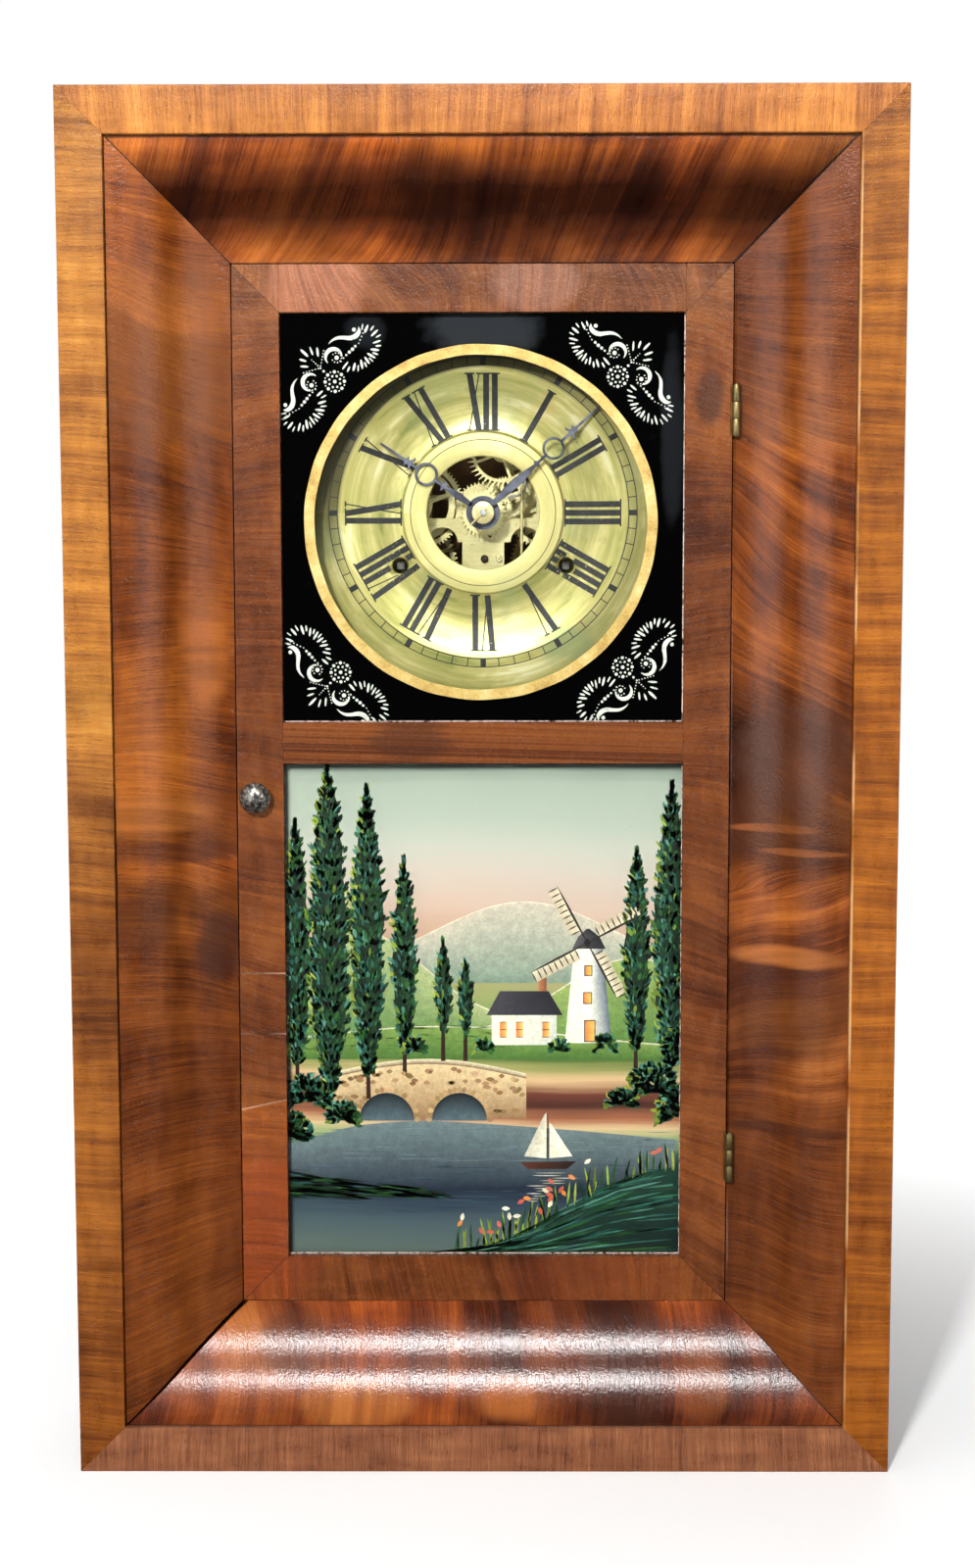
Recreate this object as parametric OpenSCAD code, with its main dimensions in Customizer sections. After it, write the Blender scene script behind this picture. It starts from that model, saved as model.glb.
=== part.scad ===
// A weight-driven ogee shelf clock with a going train and a strike train.
// +Z is up, the front faces -Y and +X is right. The origin is the middle of the base.

/* [Case] */
// Width over the case sides
case_w = 394; // [392:0.5:398]
// Height of the case
case_h = 660.4; // [656:0.2:664]
// Depth from the facing's front to the back of the back board
case_d = 114; // [113:0.5:120]
// Thickness of the side, top and bottom boards
board_t = 12; // [11.5:0.1:12.5]
// Thickness of the back board
back_t = 6.5; // [5.5:0.1:7]
// Width of the flat facing round the front
band_w = 22; // [21:0.5:23]
// Thickness of the facing
band_t = 12; // [11:0.5:12.5]
// Width of the ogee moulding
ogee_w = 55.4; // [54.8:0.1:56]
// How far the ogee falls back from its outer to its inner edge
ogee_drop = 22; // [20:0.5:22.5]
// How far the ogee's outer edge lies behind the facing's front
ogee_step = 3; // [2.5:0.5:3.5]
// Thickness of the partitions beside the weights
partition_t = 8; // [7:0.5:9]

/* [Door] */
// Gap between the door and the ogee
door_gap = 0.5; // [0.4:0.1:0.8]
// Thickness of the door
door_t = 16; // [15.5:0.1:16]
// Width of the stiles, the top rail and the bottom rail
stile_w = 22.4; // [21.5:0.1:23]
// Width of the middle rail
mid_w = 20; // [19:0.5:21]
// Height of the upper tablet's opening
upper_h = 195.1; // [192:0.1:198]
// Thickness of the glass
glass_t = 2; // [1.8:0.1:2.4]
// Diameter of the knob
knob_d = 15.2; // [14:0.2:16]
// Depth of the knob below the middle rail
knob_drop = 16.1; // [8:0.1:30]

/* [Dial and hands] */
// Depth of the dial's centre below the top of the case
dial_drop = 194.4; // [193.5:0.1:195.5]
// Radius of the dial's centre opening
dial_hole_r = 27.5; // [27:0.1:29]
// Length of the minute hand from its centre
minute_len = 77.8; // [74:0.1:80]
// Length of the hour hand from its centre
hour_len = 60.6; // [58:0.1:63]
// Time on the dial in minutes past twelve
shown_time = 608; // [600:1:612]

/* [Movement] */
// Distance of the winding arbors to each side of the centre
winding_x = 40.7; // [40.5:0.1:41]
// Depth of the winding arbors below the centre
winding_z = 25.6; // [25.4:0.1:25.8]
// Thickness of the brass plates
plate_t = 1.6; // [1.4:0.1:1.8]
// Distance between the plates
plate_gap = 30.3; // [30.1:0.1:30.6]
// Radius of the cord drums
drum_r = 12.7; // [12:0.1:12.8]
// Diameter of the cord
cord_d = 2; // [1.8:0.1:2]
// Radius of the pulleys at the middle of the cord
pulley_r = 13; // [12.6:0.1:13.2]
// Length of the pendulum from its suspension to the middle of the bob
pendulum_len = 306; // [290:1:320]
// Height of each weight
weight_h = 150; // [140:1:160]
// Outer radius of the gong
gong_r = 42; // [40:0.5:43]

/* [Hidden] */
$fn = 64;

// Case: half sizes and the faces of each layer from front to back
half_w = case_w / 2;
half_h = case_h / 2;
front_y = -case_d / 2;
back_y = case_d / 2;
band_back = front_y + band_t;
inner_x = half_w - board_t;
ogee_front = front_y + ogee_step;
ogee_in_y = ogee_front + ogee_drop;
ogee_back = front_y + 39.7;
frame_w = band_w + ogee_w;
rebate = 6;
partition_x = inner_x - 64;
partition_y0 = ogee_back + 3.3;
partition_top = case_h - 60.4;
back_in = back_y - back_t;
glue = 0.05;

// Door
door_x = half_w - frame_w - door_gap;
door_z0 = frame_w + door_gap;
door_z1 = case_h - frame_w - door_gap;
door_y0 = ogee_in_y - 1;
door_y1 = door_y0 + door_t;
open_x = door_x - stile_w;
upper_z = [door_z1 - stile_w - upper_h, door_z1 - stile_w];
lower_z = [door_z0 + stile_w, upper_z[0] - mid_w];
glass_y = door_y0 + 5;
glass_in = 5;
hinge_r = 2;
pin_r = 0.8;
pin_play = 0.03;
hinge_x = door_x + 1.4;
hinge_y = door_y0 - 2.3;
hinge_zs = [door_z0 + 73, door_z1 - 69];
leaf_h = 24;
leaf_t = 0.7;
leaf_y1 = door_y0 + 13;
knob_at = [-door_x + 9.1, lower_z[1] - knob_drop];

// Dial and hands, measured from the front
dial_z = case_h - dial_drop;
rim_y = -12;
dial_t = 0.8;
dial_side_gap = 9;
dial_half = [partition_x - dial_side_gap, 100];
dial_flat_r = 77;
dial_strip_w = 14;
hour_y = [-12.2, -11.4];
minute_y = [-15.4, -14.6];
arbor_tip_y = -18.2;
hour_hub_r = 8.2;
washer_r = 5.5;
minute_angle = -6 * (shown_time % 60);
hour_angle = -shown_time / 2;

// Movement: places are [x, z] from the dial's centre, layers are depths behind the front plate
plate_y = [8, 8 + plate_t];
rear_y = plate_y[1] + plate_gap;
rear_end = rear_y + plate_t;
pivot_r = 0.8;
play = 0.05;
arbor_r = 1.5;
fine_arbor_r = 1.2;
drum_arbor_r = 2.5;
great_module = 0.75;
second_module = 0.6;
third_module = 0.5;
transfer_module = 0.64;
great_teeth = 72;
second_teeth = 72;
time_third_teeth = 78;
strike_third_teeth = 60;
transfer_teeth = 50;
escape_teeth = 42;
second_pins = 12;
third_pins = 8;
escape_pins = 9;
fly_pins = 7;
time_great_at = [winding_x, -winding_z];
strike_great_at = [-winding_x, -winding_z];
escape_at = [9, 29.8];
great_reach = (great_teeth + second_pins) * great_module / 2;
third_reach = (second_teeth + third_pins) * second_module / 2;
escape_reach = (time_third_teeth + escape_pins) * third_module / 2;
fly_reach = (strike_third_teeth + fly_pins) * third_module / 2;
time_second_at = meet(time_great_at, great_reach, [0, 0], transfer_teeth * transfer_module, -1);
time_third_at = meet(time_second_at, third_reach, escape_at, escape_reach, -1);
strike_second_at = polar(strike_great_at, great_reach, 73.4);
strike_third_at = polar(strike_second_at, third_reach, 102);
fly_at = polar(strike_third_at, fly_reach, 44.25);
motion_reach = 13.65;
motion_at = polar([0, 0], motion_reach, 35);
cannon_teeth = 14;
minute_teeth = 42;
minute_module = 2 * motion_reach / (cannon_teeth + minute_teeth);
minute_pinion_teeth = 8;
hour_teeth = 32;
hour_module = 2 * motion_reach / (minute_pinion_teeth + hour_teeth);
second_layer = [6.4, 7.6];
transfer_layer = [9.3, 10.4];
drum_layer = [10.8, 22];
third_layer = [14, 15.2];
fly_layer = [17.4, 23.4];
great_layer = [24.6, 26.4];
escape_y = [4, 5.2];
escape_tip_r = 17.4;
hour_wheel_y = [4, 5.2];
minute_wheel_y = [6.2, 7.2];
lift_pins = 6;
lift_r = 16;
hammer_at = [-12, -50];
lever_at = [-54, 34];
count_at = [-39.5, 6];
count_r = 14.5;
count_y = [5.6, 6.8];
plate_half = 62;
plate_z = [-64, 75];
plate_corner = 5;
pillar_in = 6;
pillars_at = [for (x = [-1, 1]) for (z = [plate_z[1] - 7, plate_z[0] + pillar_in]) [x * (plate_half - pillar_in), z]];
hang_at = [19, 62];
verge_at = [19, 49];
fork_z = 8.8;
rod_y_mid = 0.3;
cord_y = plate_y[1] + 15.6;

// Weights, pulleys and cords
pulley_in = 41;
pulley_at = [inner_x - pulley_in, case_h - board_t / 2];
cord_r = cord_d / 2;
drum_cord_r = drum_r + cord_r + 0.15;
pulley_cord_r = pulley_r + 0.1;
fall_x = pulley_at[0] + pulley_cord_r;
weight_z0 = board_t + 2;
weight_size = [44, 30];
hook_z = weight_z0 + weight_h;

// Gong
gong_drop = 181;
gong_at = [0, dial_z - gong_drop];
gong_wire_r = 1.3;
gong_turns = 4;
gong_start_r = 13;
gong_y = 29.6;
gong_post_r = 7;
gong_steps = 32;

function dir(a) = [cos(a), sin(a)];
function polar(p, r, a) = p + r * dir(a);
function toward(p, q) = atan2(q[1] - p[1], q[0] - p[0]);
function unit(v) = v / norm(v);

// The point at distance rp from p and rq from q, to the left (1) or right (-1) of the way from p to q
function meet(p, rp, q, rq, side) =
    let (d = norm(q - p), u = (q - p) / d, a = (rp * rp - rq * rq + d * d) / (2 * d))
    p + a * u + side * sqrt(rp * rp - a * a) * [-u[1], u[0]];

// Outline of a toothed ring. Half widths are in degrees, and lean tips each tooth round.
function tooth_ring(teeth, root_r, tip_r, root_half, tip_half, phase, lean = 0) =
    [for (k = [0 : teeth - 1])
        for (c = [[root_r, -root_half], [tip_r, lean - tip_half], [tip_r, lean + tip_half], [root_r, root_half]])
            c[0] * dir(phase + 360 * k / teeth + c[1])];

// Where a driven gear needs a gap, so that it meets a tooth of the driver
function gap_phase(angle, teeth) = angle + 180 + 180 / teeth;

// Points of an arc in a flat path
function arc(c, r, a0, a1, steps) = [for (i = [0 : steps]) polar(c, r, a0 + (a1 - a0) * i / steps)];

// The gong's wire, and the least gap between its turns
gong_spiral = [for (i = [0 : gong_turns * gong_steps])
    let (share = i / (gong_turns * gong_steps))
    polar(gong_at, gong_start_r + (gong_r - gong_start_r) * share, 360 * gong_turns * share)];
gong_gap = min([for (i = [0 : len(gong_spiral) - 1])
    for (j = [i + gong_steps / 2 : 1 : len(gong_spiral) - 1])
        norm(gong_spiral[i] - gong_spiral[j])]) - 2 * gong_wire_r;
echo(gong_gap = gong_gap);

// Front surface of the ogee, as [width from its outer edge, y]: a round, then a hollow
ogee_arc_r = (pow(ogee_w / 2, 2) + pow(ogee_drop / 2, 2)) / ogee_drop;
ogee_arc = asin(ogee_w / 2 / ogee_arc_r);
ogee_steps = 12;
function ogee_surface() = concat(
    [for (i = [0 : ogee_steps])
        let (a = ogee_arc * i / ogee_steps)
        [ogee_arc_r * sin(a), ogee_front + ogee_arc_r * (1 - cos(a))]],
    [for (i = [ogee_steps - 1 : -1 : 0])
        let (a = ogee_arc * i / ogee_steps)
        [ogee_w - ogee_arc_r * sin(a), ogee_in_y - ogee_arc_r * (1 - cos(a))]]);

module box(x, y, z) {
    translate([x[0], y[0], z[0]]) cube([x[1] - x[0], y[1] - y[0], z[1] - z[0]]);
}

// A flat shape, drawn as seen from the front, that fills y[0] to y[1]
module slab(y) {
    translate([0, y[1], 0]) rotate([90, 0, 0]) linear_extrude(y[1] - y[0]) children();
}

module rod(p, r, y) {
    slab(y) translate(p) circle(r = r);
}

// A turned shape about a line along Y. Its points are [radius, y].
module turned(p, points) {
    translate([p[0], 0, p[1]])
        rotate([90, 0, 0])
            rotate_extrude()
                polygon([for (q = points) [q[0], -q[1]]]);
}

// A straight flat bar from p to q
module bar(p, q, w) {
    translate(p) rotate(toward(p, q)) translate([0, -w / 2]) square([norm(q - p), w]);
}

// An unbroken round wire or cord along a flat path
module tube(path, y, r, sides = 8) {
    n = len(path);
    rings = [for (i = [0 : n - 1])
        let (t = unit(path[min(i + 1, n - 1)] - path[max(i - 1, 0)]))
        for (k = [0 : sides - 1])
            let (a = 360 * (k + 0.5) / sides, p = path[i] + r * cos(a) * [-t[1], t[0]])
            [p[0], y + r * sin(a), p[1]]];
    walls = [for (i = [0 : n - 2])
        for (k = [0 : sides - 1])
            let (a = i * sides + k, b = i * sides + (k + 1) % sides)
            [a, b, b + sides, a + sides]];
    ends = [[for (k = [sides - 1 : -1 : 0]) k], [for (k = [0 : sides - 1]) (n - 1) * sides + k]];
    polyhedron(rings, concat(walls, ends));
}

module movement() {
    translate([0, 0, dial_z]) children();
}

// Fills layer u, counted from the back of the front plate
module layer(u) {
    slab([plate_y[1] + u[0], plate_y[1] + u[1]]) children();
}

module gear(teeth, modul, phase) {
    r = teeth * modul / 2;
    step = 360 / teeth;
    polygon(tooth_ring(teeth, r - 1.15 * modul, r + 0.8 * modul, 0.27 * step, 0.1 * step, phase));
}

arm_start = 20;

// A brass wheel with its arms cut out
module crossed(teeth, modul, phase, hub_r, arms = 4) {
    rim_r = teeth * modul / 2 - 1.15 * modul - 2.2;
    difference() {
        gear(teeth, modul, phase);
        difference() {
            circle(r = rim_r);
            circle(r = hub_r);
            for (k = [0 : arms - 1]) {
                rotate(360 * k / arms + arm_start) translate([0, -1.1]) square([rim_r + 0.5, 2.2]);
            }
        }
    }
}

// A lantern pinion that takes the wheel in layer u: two discs with round pins between them
module lantern(pins, modul, phase, u) {
    r = pins * modul / 2;
    disc_t = 0.6;
    side = 0.2;
    for (y = [u[0] - side - disc_t, u[1] + side]) {
        layer([y, y + disc_t]) circle(r = r + 0.8);
    }
    for (k = [0 : pins - 1]) {
        layer([u[0] - side - disc_t / 2, u[1] + side + disc_t / 2])
            translate(polar([0, 0], r, phase + 360 * k / pins))
                circle(r = 0.19 * PI * modul, $fn = 16);
    }
}

// An arbor between the plates, with a thinner pivot in each
module arbor(r, pivot = pivot_r) {
    rod([0, 0], r, [plate_y[1] + 0.2, rear_y - 0.2]);
    rod([0, 0], pivot, [plate_y[0], rear_end]);
}

module place(p) {
    translate([p[0], 0, dial_z + p[1]]) children();
}

// Case

module side_board() {
    difference() {
        box([inner_x, half_w], [band_back, back_y], [0, case_h]);
        box([inner_x - 1, inner_x + rebate], [back_in, back_y + 1], [board_t - rebate, case_h - board_t + rebate]);
        nail_holes();
    }
}

module case_side_right() {
    color("sienna") side_board();
}

module case_side_left() {
    color("sienna") mirror([1, 0, 0]) side_board();
}

// The cord leaves the drum and meets the pulley at this angle from the drum's middle
riser_angle = let (d = time_great_at + [0, dial_z])
    toward(d, pulley_at) - acos((drum_cord_r + pulley_cord_r) / norm(pulley_at - d));
riser_top = pulley_at - pulley_cord_r * dir(riser_angle);
riser_x = riser_top[0] - (riser_top[1] - case_h + board_t) * tan(-riser_angle);
slot_half = pulley_at[0] - riser_x + cord_r / cos(riser_angle) + 0.6;
slot_y = [cord_y - 4, cord_y + 4];
axle_r = 1.5;
axle_y = [cord_y - 9, cord_y + 9];

module end_board() {
    difference() {
        box([-inner_x, inner_x], [band_back, back_y], [case_h - board_t, case_h]);
        box([-inner_x - 1, inner_x + 1], [back_in, back_y + 1], [case_h - board_t - 1, case_h - board_t + rebate]);
        nail_holes();
    }
}

module case_top() {
    color("sienna") difference() {
        end_board();
        for (s = [-1, 1]) {
            x = s * pulley_at[0];
            box([x - slot_half, x + slot_half], slot_y, [case_h - board_t - 1, case_h + 1]);
            rod([x, pulley_at[1]], axle_r + play, [axle_y[0], axle_y[1] + play]);
        }
    }
}

module case_bottom() {
    color("sienna") translate([0, 0, case_h]) mirror([0, 0, 1]) end_board();
}

nail_r = 0.8;
nail_play = 0.05;
nail_l = 20;
nail_head_r = 1.9;
nail_head_t = 0.6;
nail_spots = concat(
    [for (i = [-3, -1, 1, 3]) for (z = [board_t - 3, case_h - board_t + 3]) [i * (inner_x - 35) / 3, z]],
    [for (s = [-1, 1]) for (i = [0 : 3]) [s * (inner_x + 3), case_h * (0.14 + 0.24 * i)]]);

module nail_holes() {
    for (p = nail_spots) {
        rod(p, nail_r + nail_play, [back_y - nail_l, back_y + 1]);
        rod(p, nail_head_r + nail_play, [back_y - nail_head_t, back_y + 1]);
    }
}

dial_screws_at = [for (x = [-1, 1]) for (z = [-1, 1]) [x * (dial_half[0] - 6), dial_z + z * (dial_half[1] - 8)]];
plate_screws_at = [for (p = pillars_at) [p[0] - 10 * sign(p[0]), dial_z + p[1]]];
screw_r = 1.2;
screw_head_r = 2.6;

module screw_shafts(r) {
    for (p = dial_screws_at) {
        rod(p, r, [rim_y - 1, rim_y + 12]);
    }
    for (p = plate_screws_at) {
        rod(p, r, [rear_y - 1, rear_end + 7]);
    }
}

module nails_and_screws() {
    color("dimgray") {
        for (p = nail_spots) {
            rod(p, nail_r, [back_y - nail_l + 0.5, back_y]);
            rod(p, nail_head_r, [back_y - nail_head_t, back_y]);
        }
        for (p = dial_screws_at) {
            rod(p, screw_r, [rim_y, rim_y + 11]);
            rod(p, screw_head_r, [rim_y - 1, rim_y]);
        }
        for (p = plate_screws_at) {
            rod(p, screw_r, [rear_y, rear_end + 6.5]);
            rod(p, screw_head_r, [rear_y - 1.2, rear_y]);
        }
    }
}

module back_board() {
    edge = rebate - 0.1;
    color("tan") difference() {
        box([-inner_x - edge, inner_x + edge], [back_in, back_y], [board_t - edge, case_h - board_t + edge]);
        nail_holes();
    }
}

// The part of the frame that one side and one end of a mitred border take up, from the outer edge in
module side_mitre(w) {
    polygon([[half_w, -half_h + glue], [half_w, half_h - glue],
        [half_w - w, half_h - w - glue], [half_w - w, -half_h + w + glue]]);
}

module end_mitre(w) {
    polygon([[-half_w + glue, half_h], [half_w - glue, half_h],
        [half_w - w - glue, half_h - w], [-half_w + w + glue, half_h - w]]);
}

module facing_strips() {
    color("saddlebrown") translate([0, 0, half_h]) {
        for (s = [0, 1]) {
            mirror([s, 0, 0]) slab([front_y, band_back]) side_mitre(band_w);
            mirror([0, 0, s]) slab([front_y, band_back]) end_mitre(band_w);
        }
    }
}

// The moulding's section out to half the frame's width or height, run along Z
module ogee_run(outer, run) {
    edge = outer - band_w;
    linear_extrude(run, center = true)
        polygon(concat(
            [for (p = ogee_surface()) [edge - p[0], p[1]]],
            [[edge - ogee_w, ogee_back], [outer - board_t, ogee_back], [outer - board_t, band_back], [edge, band_back]]));
}

module ogee_side() {
    intersection() {
        ogee_run(half_w, case_h);
        slab([front_y, back_y]) side_mitre(frame_w + 5);
    }
}

module ogee_end() {
    intersection() {
        rotate([0, -90, 0]) ogee_run(half_h, case_w);
        slab([front_y, back_y]) end_mitre(frame_w + 5);
    }
}

module ogee_right() {
    color("brown") difference() {
        translate([0, 0, half_h]) ogee_side();
        for (z = hinge_zs) {
            box([door_x, door_x + door_gap + 0.95], [front_y, leaf_y1 + 0.1], [z - leaf_h / 2 - 0.1, z + leaf_h / 2 + 0.1]);
        }
    }
}

module ogee_left() {
    color("brown") translate([0, 0, half_h]) mirror([1, 0, 0]) ogee_side();
}

module ogee_top() {
    color("brown") translate([0, 0, half_h]) ogee_end();
}

module ogee_bottom() {
    color("brown") translate([0, 0, half_h]) mirror([0, 0, 1]) ogee_end();
}

module partitions() {
    color("burlywood") for (s = [0, 1]) {
        mirror([s, 0, 0])
            box([partition_x, partition_x + partition_t], [partition_y0, back_in], [board_t, partition_top]);
    }
}

movement_rail_w = 17;

module inner_rails() {
    color("burlywood") difference() {
        union() {
            for (s = [0, 1]) {
                mirror([s, 0, 0])
                    box([dial_half[0] - dial_strip_w, partition_x - 0.05], [rim_y + dial_t, rim_y + 20],
                        [dial_z - dial_half[1], dial_z + dial_half[1]]);
            }
            for (z = [plate_z[0], plate_z[1] - movement_rail_w]) {
                box([-partition_x + 0.05, partition_x - 0.05], [rear_end, back_in],
                    [dial_z + z, dial_z + z + movement_rail_w]);
            }
        }
        screw_shafts(screw_r + nail_play);
    }
}

module inner_boards() {
    partitions();
    inner_rails();
}

// Hinges

module knuckle(z) {
    translate([hinge_x, hinge_y, z[0]]) difference() {
        cylinder(h = z[1] - z[0], r = hinge_r);
        translate([0, 0, -1]) cylinder(h = z[1] - z[0] + 2, r = pin_r + pin_play);
    }
}

module case_hinge_leaves() {
    leaf_x = [door_x + door_gap + 0.1, door_x + door_gap + 0.1 + leaf_t];
    color("goldenrod") for (z = hinge_zs) {
        box(leaf_x, [door_y0 - 0.1, leaf_y1], [z - leaf_h / 2, z + leaf_h / 2]);
        for (k = [[-leaf_h / 2, -4.1], [4.1, leaf_h / 2]]) {
            difference() {
                union() {
                    knuckle([z + k[0], z + k[1]]);
                    box(leaf_x, [hinge_y + 0.9, door_y0], [z + k[0], z + k[1]]);
                }
                translate([hinge_x, hinge_y, z + k[0] - 1])
                    cylinder(h = k[1] - k[0] + 2, r = pin_r + pin_play);
            }
        }
        translate([hinge_x, hinge_y, z - leaf_h / 2 - 0.6]) cylinder(h = leaf_h + 1.2, r = pin_r);
    }
}

module door_hinge_leaves() {
    leaf_x = [door_x - leaf_t, door_x - 0.05];
    color("goldenrod") for (z = hinge_zs) {
        box(leaf_x, [door_y0 - 0.1, leaf_y1], [z - leaf_h / 2, z + leaf_h / 2]);
        knuckle([z - 3.9, z + 3.9]);
        box([hinge_x - hinge_r, door_x - 0.05], [hinge_y - 0.1, door_y0], [z - 3.9, z + 3.9]);
    }
}

// Door

module glass_rebates() {
    for (z = [lower_z, upper_z]) {
        box([-open_x - glass_in, open_x + glass_in], [glass_y, door_y1 + 1], [z[0] - glass_in, z[1] + glass_in]);
    }
}

module stile(x) {
    difference() {
        box(x, [door_y0, door_y1], [door_z0, door_z1]);
        glass_rebates();
        children();
    }
}

module door_stile_left() {
    color("sienna") stile([-door_x, -open_x]) {
        rod(knob_at, spindle_r + play, [door_y0 - 1, door_y1 + 1]);
    }
}

module door_stile_right() {
    color("sienna") stile([open_x, door_x]) {
        for (z = hinge_zs) {
            box([door_x - leaf_t - 0.05, door_x + 1], [door_y0 - 1, leaf_y1 + 0.1],
                [z - leaf_h / 2 - 0.1, z + leaf_h / 2 + 0.1]);
        }
    }
}

module rail(z) {
    color("sienna") difference() {
        box([-open_x, open_x], [door_y0, door_y1], z);
        glass_rebates();
    }
}

module door_top_rail() {
    rail([upper_z[1], door_z1]);
}

module door_middle_rail() {
    rail([lower_z[1], upper_z[0]]);
}

module door_bottom_rail() {
    rail([door_z0, lower_z[0]]);
}

pane_in = glass_in - 0.4;

module pane(z) {
    box([-open_x - pane_in, open_x + pane_in], [glass_y, glass_y + glass_t], [z[0] - pane_in, z[1] + pane_in]);
}

module upper_glass() {
    color("dimgray") pane(upper_z);
}

module lower_glass() {
    color("cadetblue") pane(lower_z);
}

module glazing_strips() {
    strip_y = [glass_y + glass_t, glass_y + glass_t + 5];
    color("burlywood") for (z = [lower_z, upper_z]) {
        for (s = [0, 1]) {
            mirror([s, 0, 0]) box([open_x + 0.4, open_x + pane_in], strip_y, [z[0] - pane_in, z[1] + pane_in]);
        }
        box([-open_x + 0.2, open_x - 0.2], strip_y, [z[1] + 0.4, z[1] + pane_in]);
        box([-open_x + 0.2, open_x - 0.2], strip_y, [z[0] - pane_in, z[0] - 0.4]);
    }
}

spindle_r = 2;
tongue_y = [door_y1 + 0.2, door_y1 + 1.7];

module door_knob() {
    r = knob_d / 2;
    color("darkgray") turned(knob_at, concat(
        [[0, tongue_y[1]], [spindle_r, tongue_y[1]], [spindle_r, door_y0 - 0.2], [4.4, door_y0 - 0.2],
            [4.4, door_y0 - 1.2], [3, door_y0 - 2.6], [3.2, door_y0 - 4.4]],
        [for (i = [0 : 8])
            [r * cos(90 * i / 8) * 0.999 + 0.001 * (8 - i), door_y0 - 6.2 - 5.2 * sin(90 * i / 8)]]));
}

// Stands upright, so that the door is free. Turned a quarter, it catches behind the ogee.
module latch_tongue() {
    p = knob_at;
    color("darkgray") difference() {
        slab(tongue_y) union() {
            translate(p) circle(r = 4.5);
            translate([p[0] - 3.5, p[1]]) square([7, 15]);
        }
        rod(p, spindle_r + 0.02, [tongue_y[0] - 1, tongue_y[1] + 1]);
    }
}

// Dial

// The dial's front, as [radius, y]: raised ring, hollow numeral zone, step, minute track
ring_r = 39;
ring_step = 0.6;
dial_front = [[dial_hole_r, -10], [ring_r, -10], [ring_r + ring_step, -8.2], [46, -7.4], [56, -7.8], [68, -10.9],
    [69.8, -11.8], [71, rim_y], [dial_flat_r, rim_y]];

module dial() {
    rear = [for (p = dial_front) [p[0] - (abs(p[0] - ring_r) < 1 ? ring_step : 0), p[1] + dial_t]];
    color("ivory") difference() {
        union() {
            place([0, 0]) turned([0, 0], concat(dial_front, [for (i = [len(rear) - 1 : -1 : 0]) rear[i]]));
            slab([rim_y, rim_y + dial_t]) difference() {
                translate([-dial_half[0], dial_z - dial_half[1]]) square(2 * dial_half);
                translate([0, dial_z]) circle(r = dial_flat_r - 0.5);
            }
        }
        for (s = [-1, 1]) {
            rod([s * winding_x, dial_z - winding_z], 4, [rim_y - 1, 0]);
        }
        screw_shafts(screw_r + nail_play);
    }
}

// Hands, drawn upright and turned to the time shown

module hand_ring(z, outer, wall) {
    translate([0, z]) difference() {
        circle(r = outer);
        circle(r = outer - wall);
    }
}

module minute_hand() {
    k = minute_len / 77.8;
    color("midnightblue") movement() rotate([0, -minute_angle, 0]) difference() {
        union() {
            rod([0, 0], 5.8, minute_y);
            slab(minute_y)
                polygon([[-1, 4], [-2.2, 22.5 * k], [-0.75, 33.5 * k], [-0.75, 42 * k], [0.75, 42 * k],
                    [0.75, 33.5 * k], [2.2, 22.5 * k], [1, 4]]);
            rod([0, 35 * k], 1.5, minute_y);
            slab(minute_y) hand_ring(46.2 * k, 5.5, 1.4);
            slab(minute_y)
                polygon([[-0.8, 51.4 * k], [-0.8, 57 * k], [-3.2, 58.7 * k], [-1.2, 60.6 * k], [-1.5, 64 * k],
                    [0, 77.8 * k], [1.5, 64 * k], [1.2, 60.6 * k], [3.2, 58.7 * k], [0.8, 57 * k], [0.8, 51.4 * k]]);
        }
        rod([0, 0], arbor_r + 0.02, [minute_y[0] - 1, minute_y[1] + 1]);
    }
}

module hour_hand() {
    k = hour_len / 60.6;
    color("midnightblue") movement() rotate([0, -hour_angle, 0]) difference() {
        union() {
            rod([0, 0], hour_hub_r, hour_y);
            slab(hour_y)
                polygon([[-1, 7], [-1.6, 18 * k], [-0.8, 24 * k], [-0.8, 28.4 * k], [0.8, 28.4 * k],
                    [0.8, 24 * k], [1.6, 18 * k], [1, 7]]);
            slab(hour_y) translate([-2.6, 22.8 * k]) square([5.2, 1.4]);
            slab(hour_y) hand_ring(33.4 * k, 5.7, 1.5);
            slab(hour_y)
                polygon([[-0.8, 38.6 * k], [-0.8, 42.4 * k], [-3.2, 43.9 * k], [-1.2, 45.8 * k], [-1.6, 49 * k],
                    [0, 60.6 * k], [1.6, 49 * k], [1.2, 45.8 * k], [3.2, 43.9 * k], [0.8, 42.4 * k], [0.8, 38.6 * k]]);
        }
        rod([0, 0], hour_pipe_r + 0.02, [hour_y[0] - 1, hour_y[1] + 1]);
    }
}

hand_pin_y = -17.2;

module hand_washer() {
    color("gold") movement() {
        turned([0, 0], [[arbor_r + 0.03, minute_y[0]], [washer_r, minute_y[0]], [washer_r - 0.3, minute_y[0] - 0.5],
            [washer_r - 2, minute_y[0] - 1], [arbor_r + 0.03, minute_y[0] - 1.2]]);
        translate([0, hand_pin_y, 0]) rotate([0, 45, 0]) translate([0, 0, -9]) cylinder(h = 11.5, r = 0.45);
    }
}

// Movement frame

module pivot_holes() {
    for (p = [time_second_at, time_third_at, strike_second_at, strike_third_at, fly_at, hammer_at]) {
        translate(p) circle(r = pivot_r + play);
    }
    for (p = [time_great_at, strike_great_at]) {
        translate(p) circle(r = drum_arbor_r + play);
    }
    for (p = pillars_at) {
        translate(p) circle(r = 1.55);
    }
}

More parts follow.
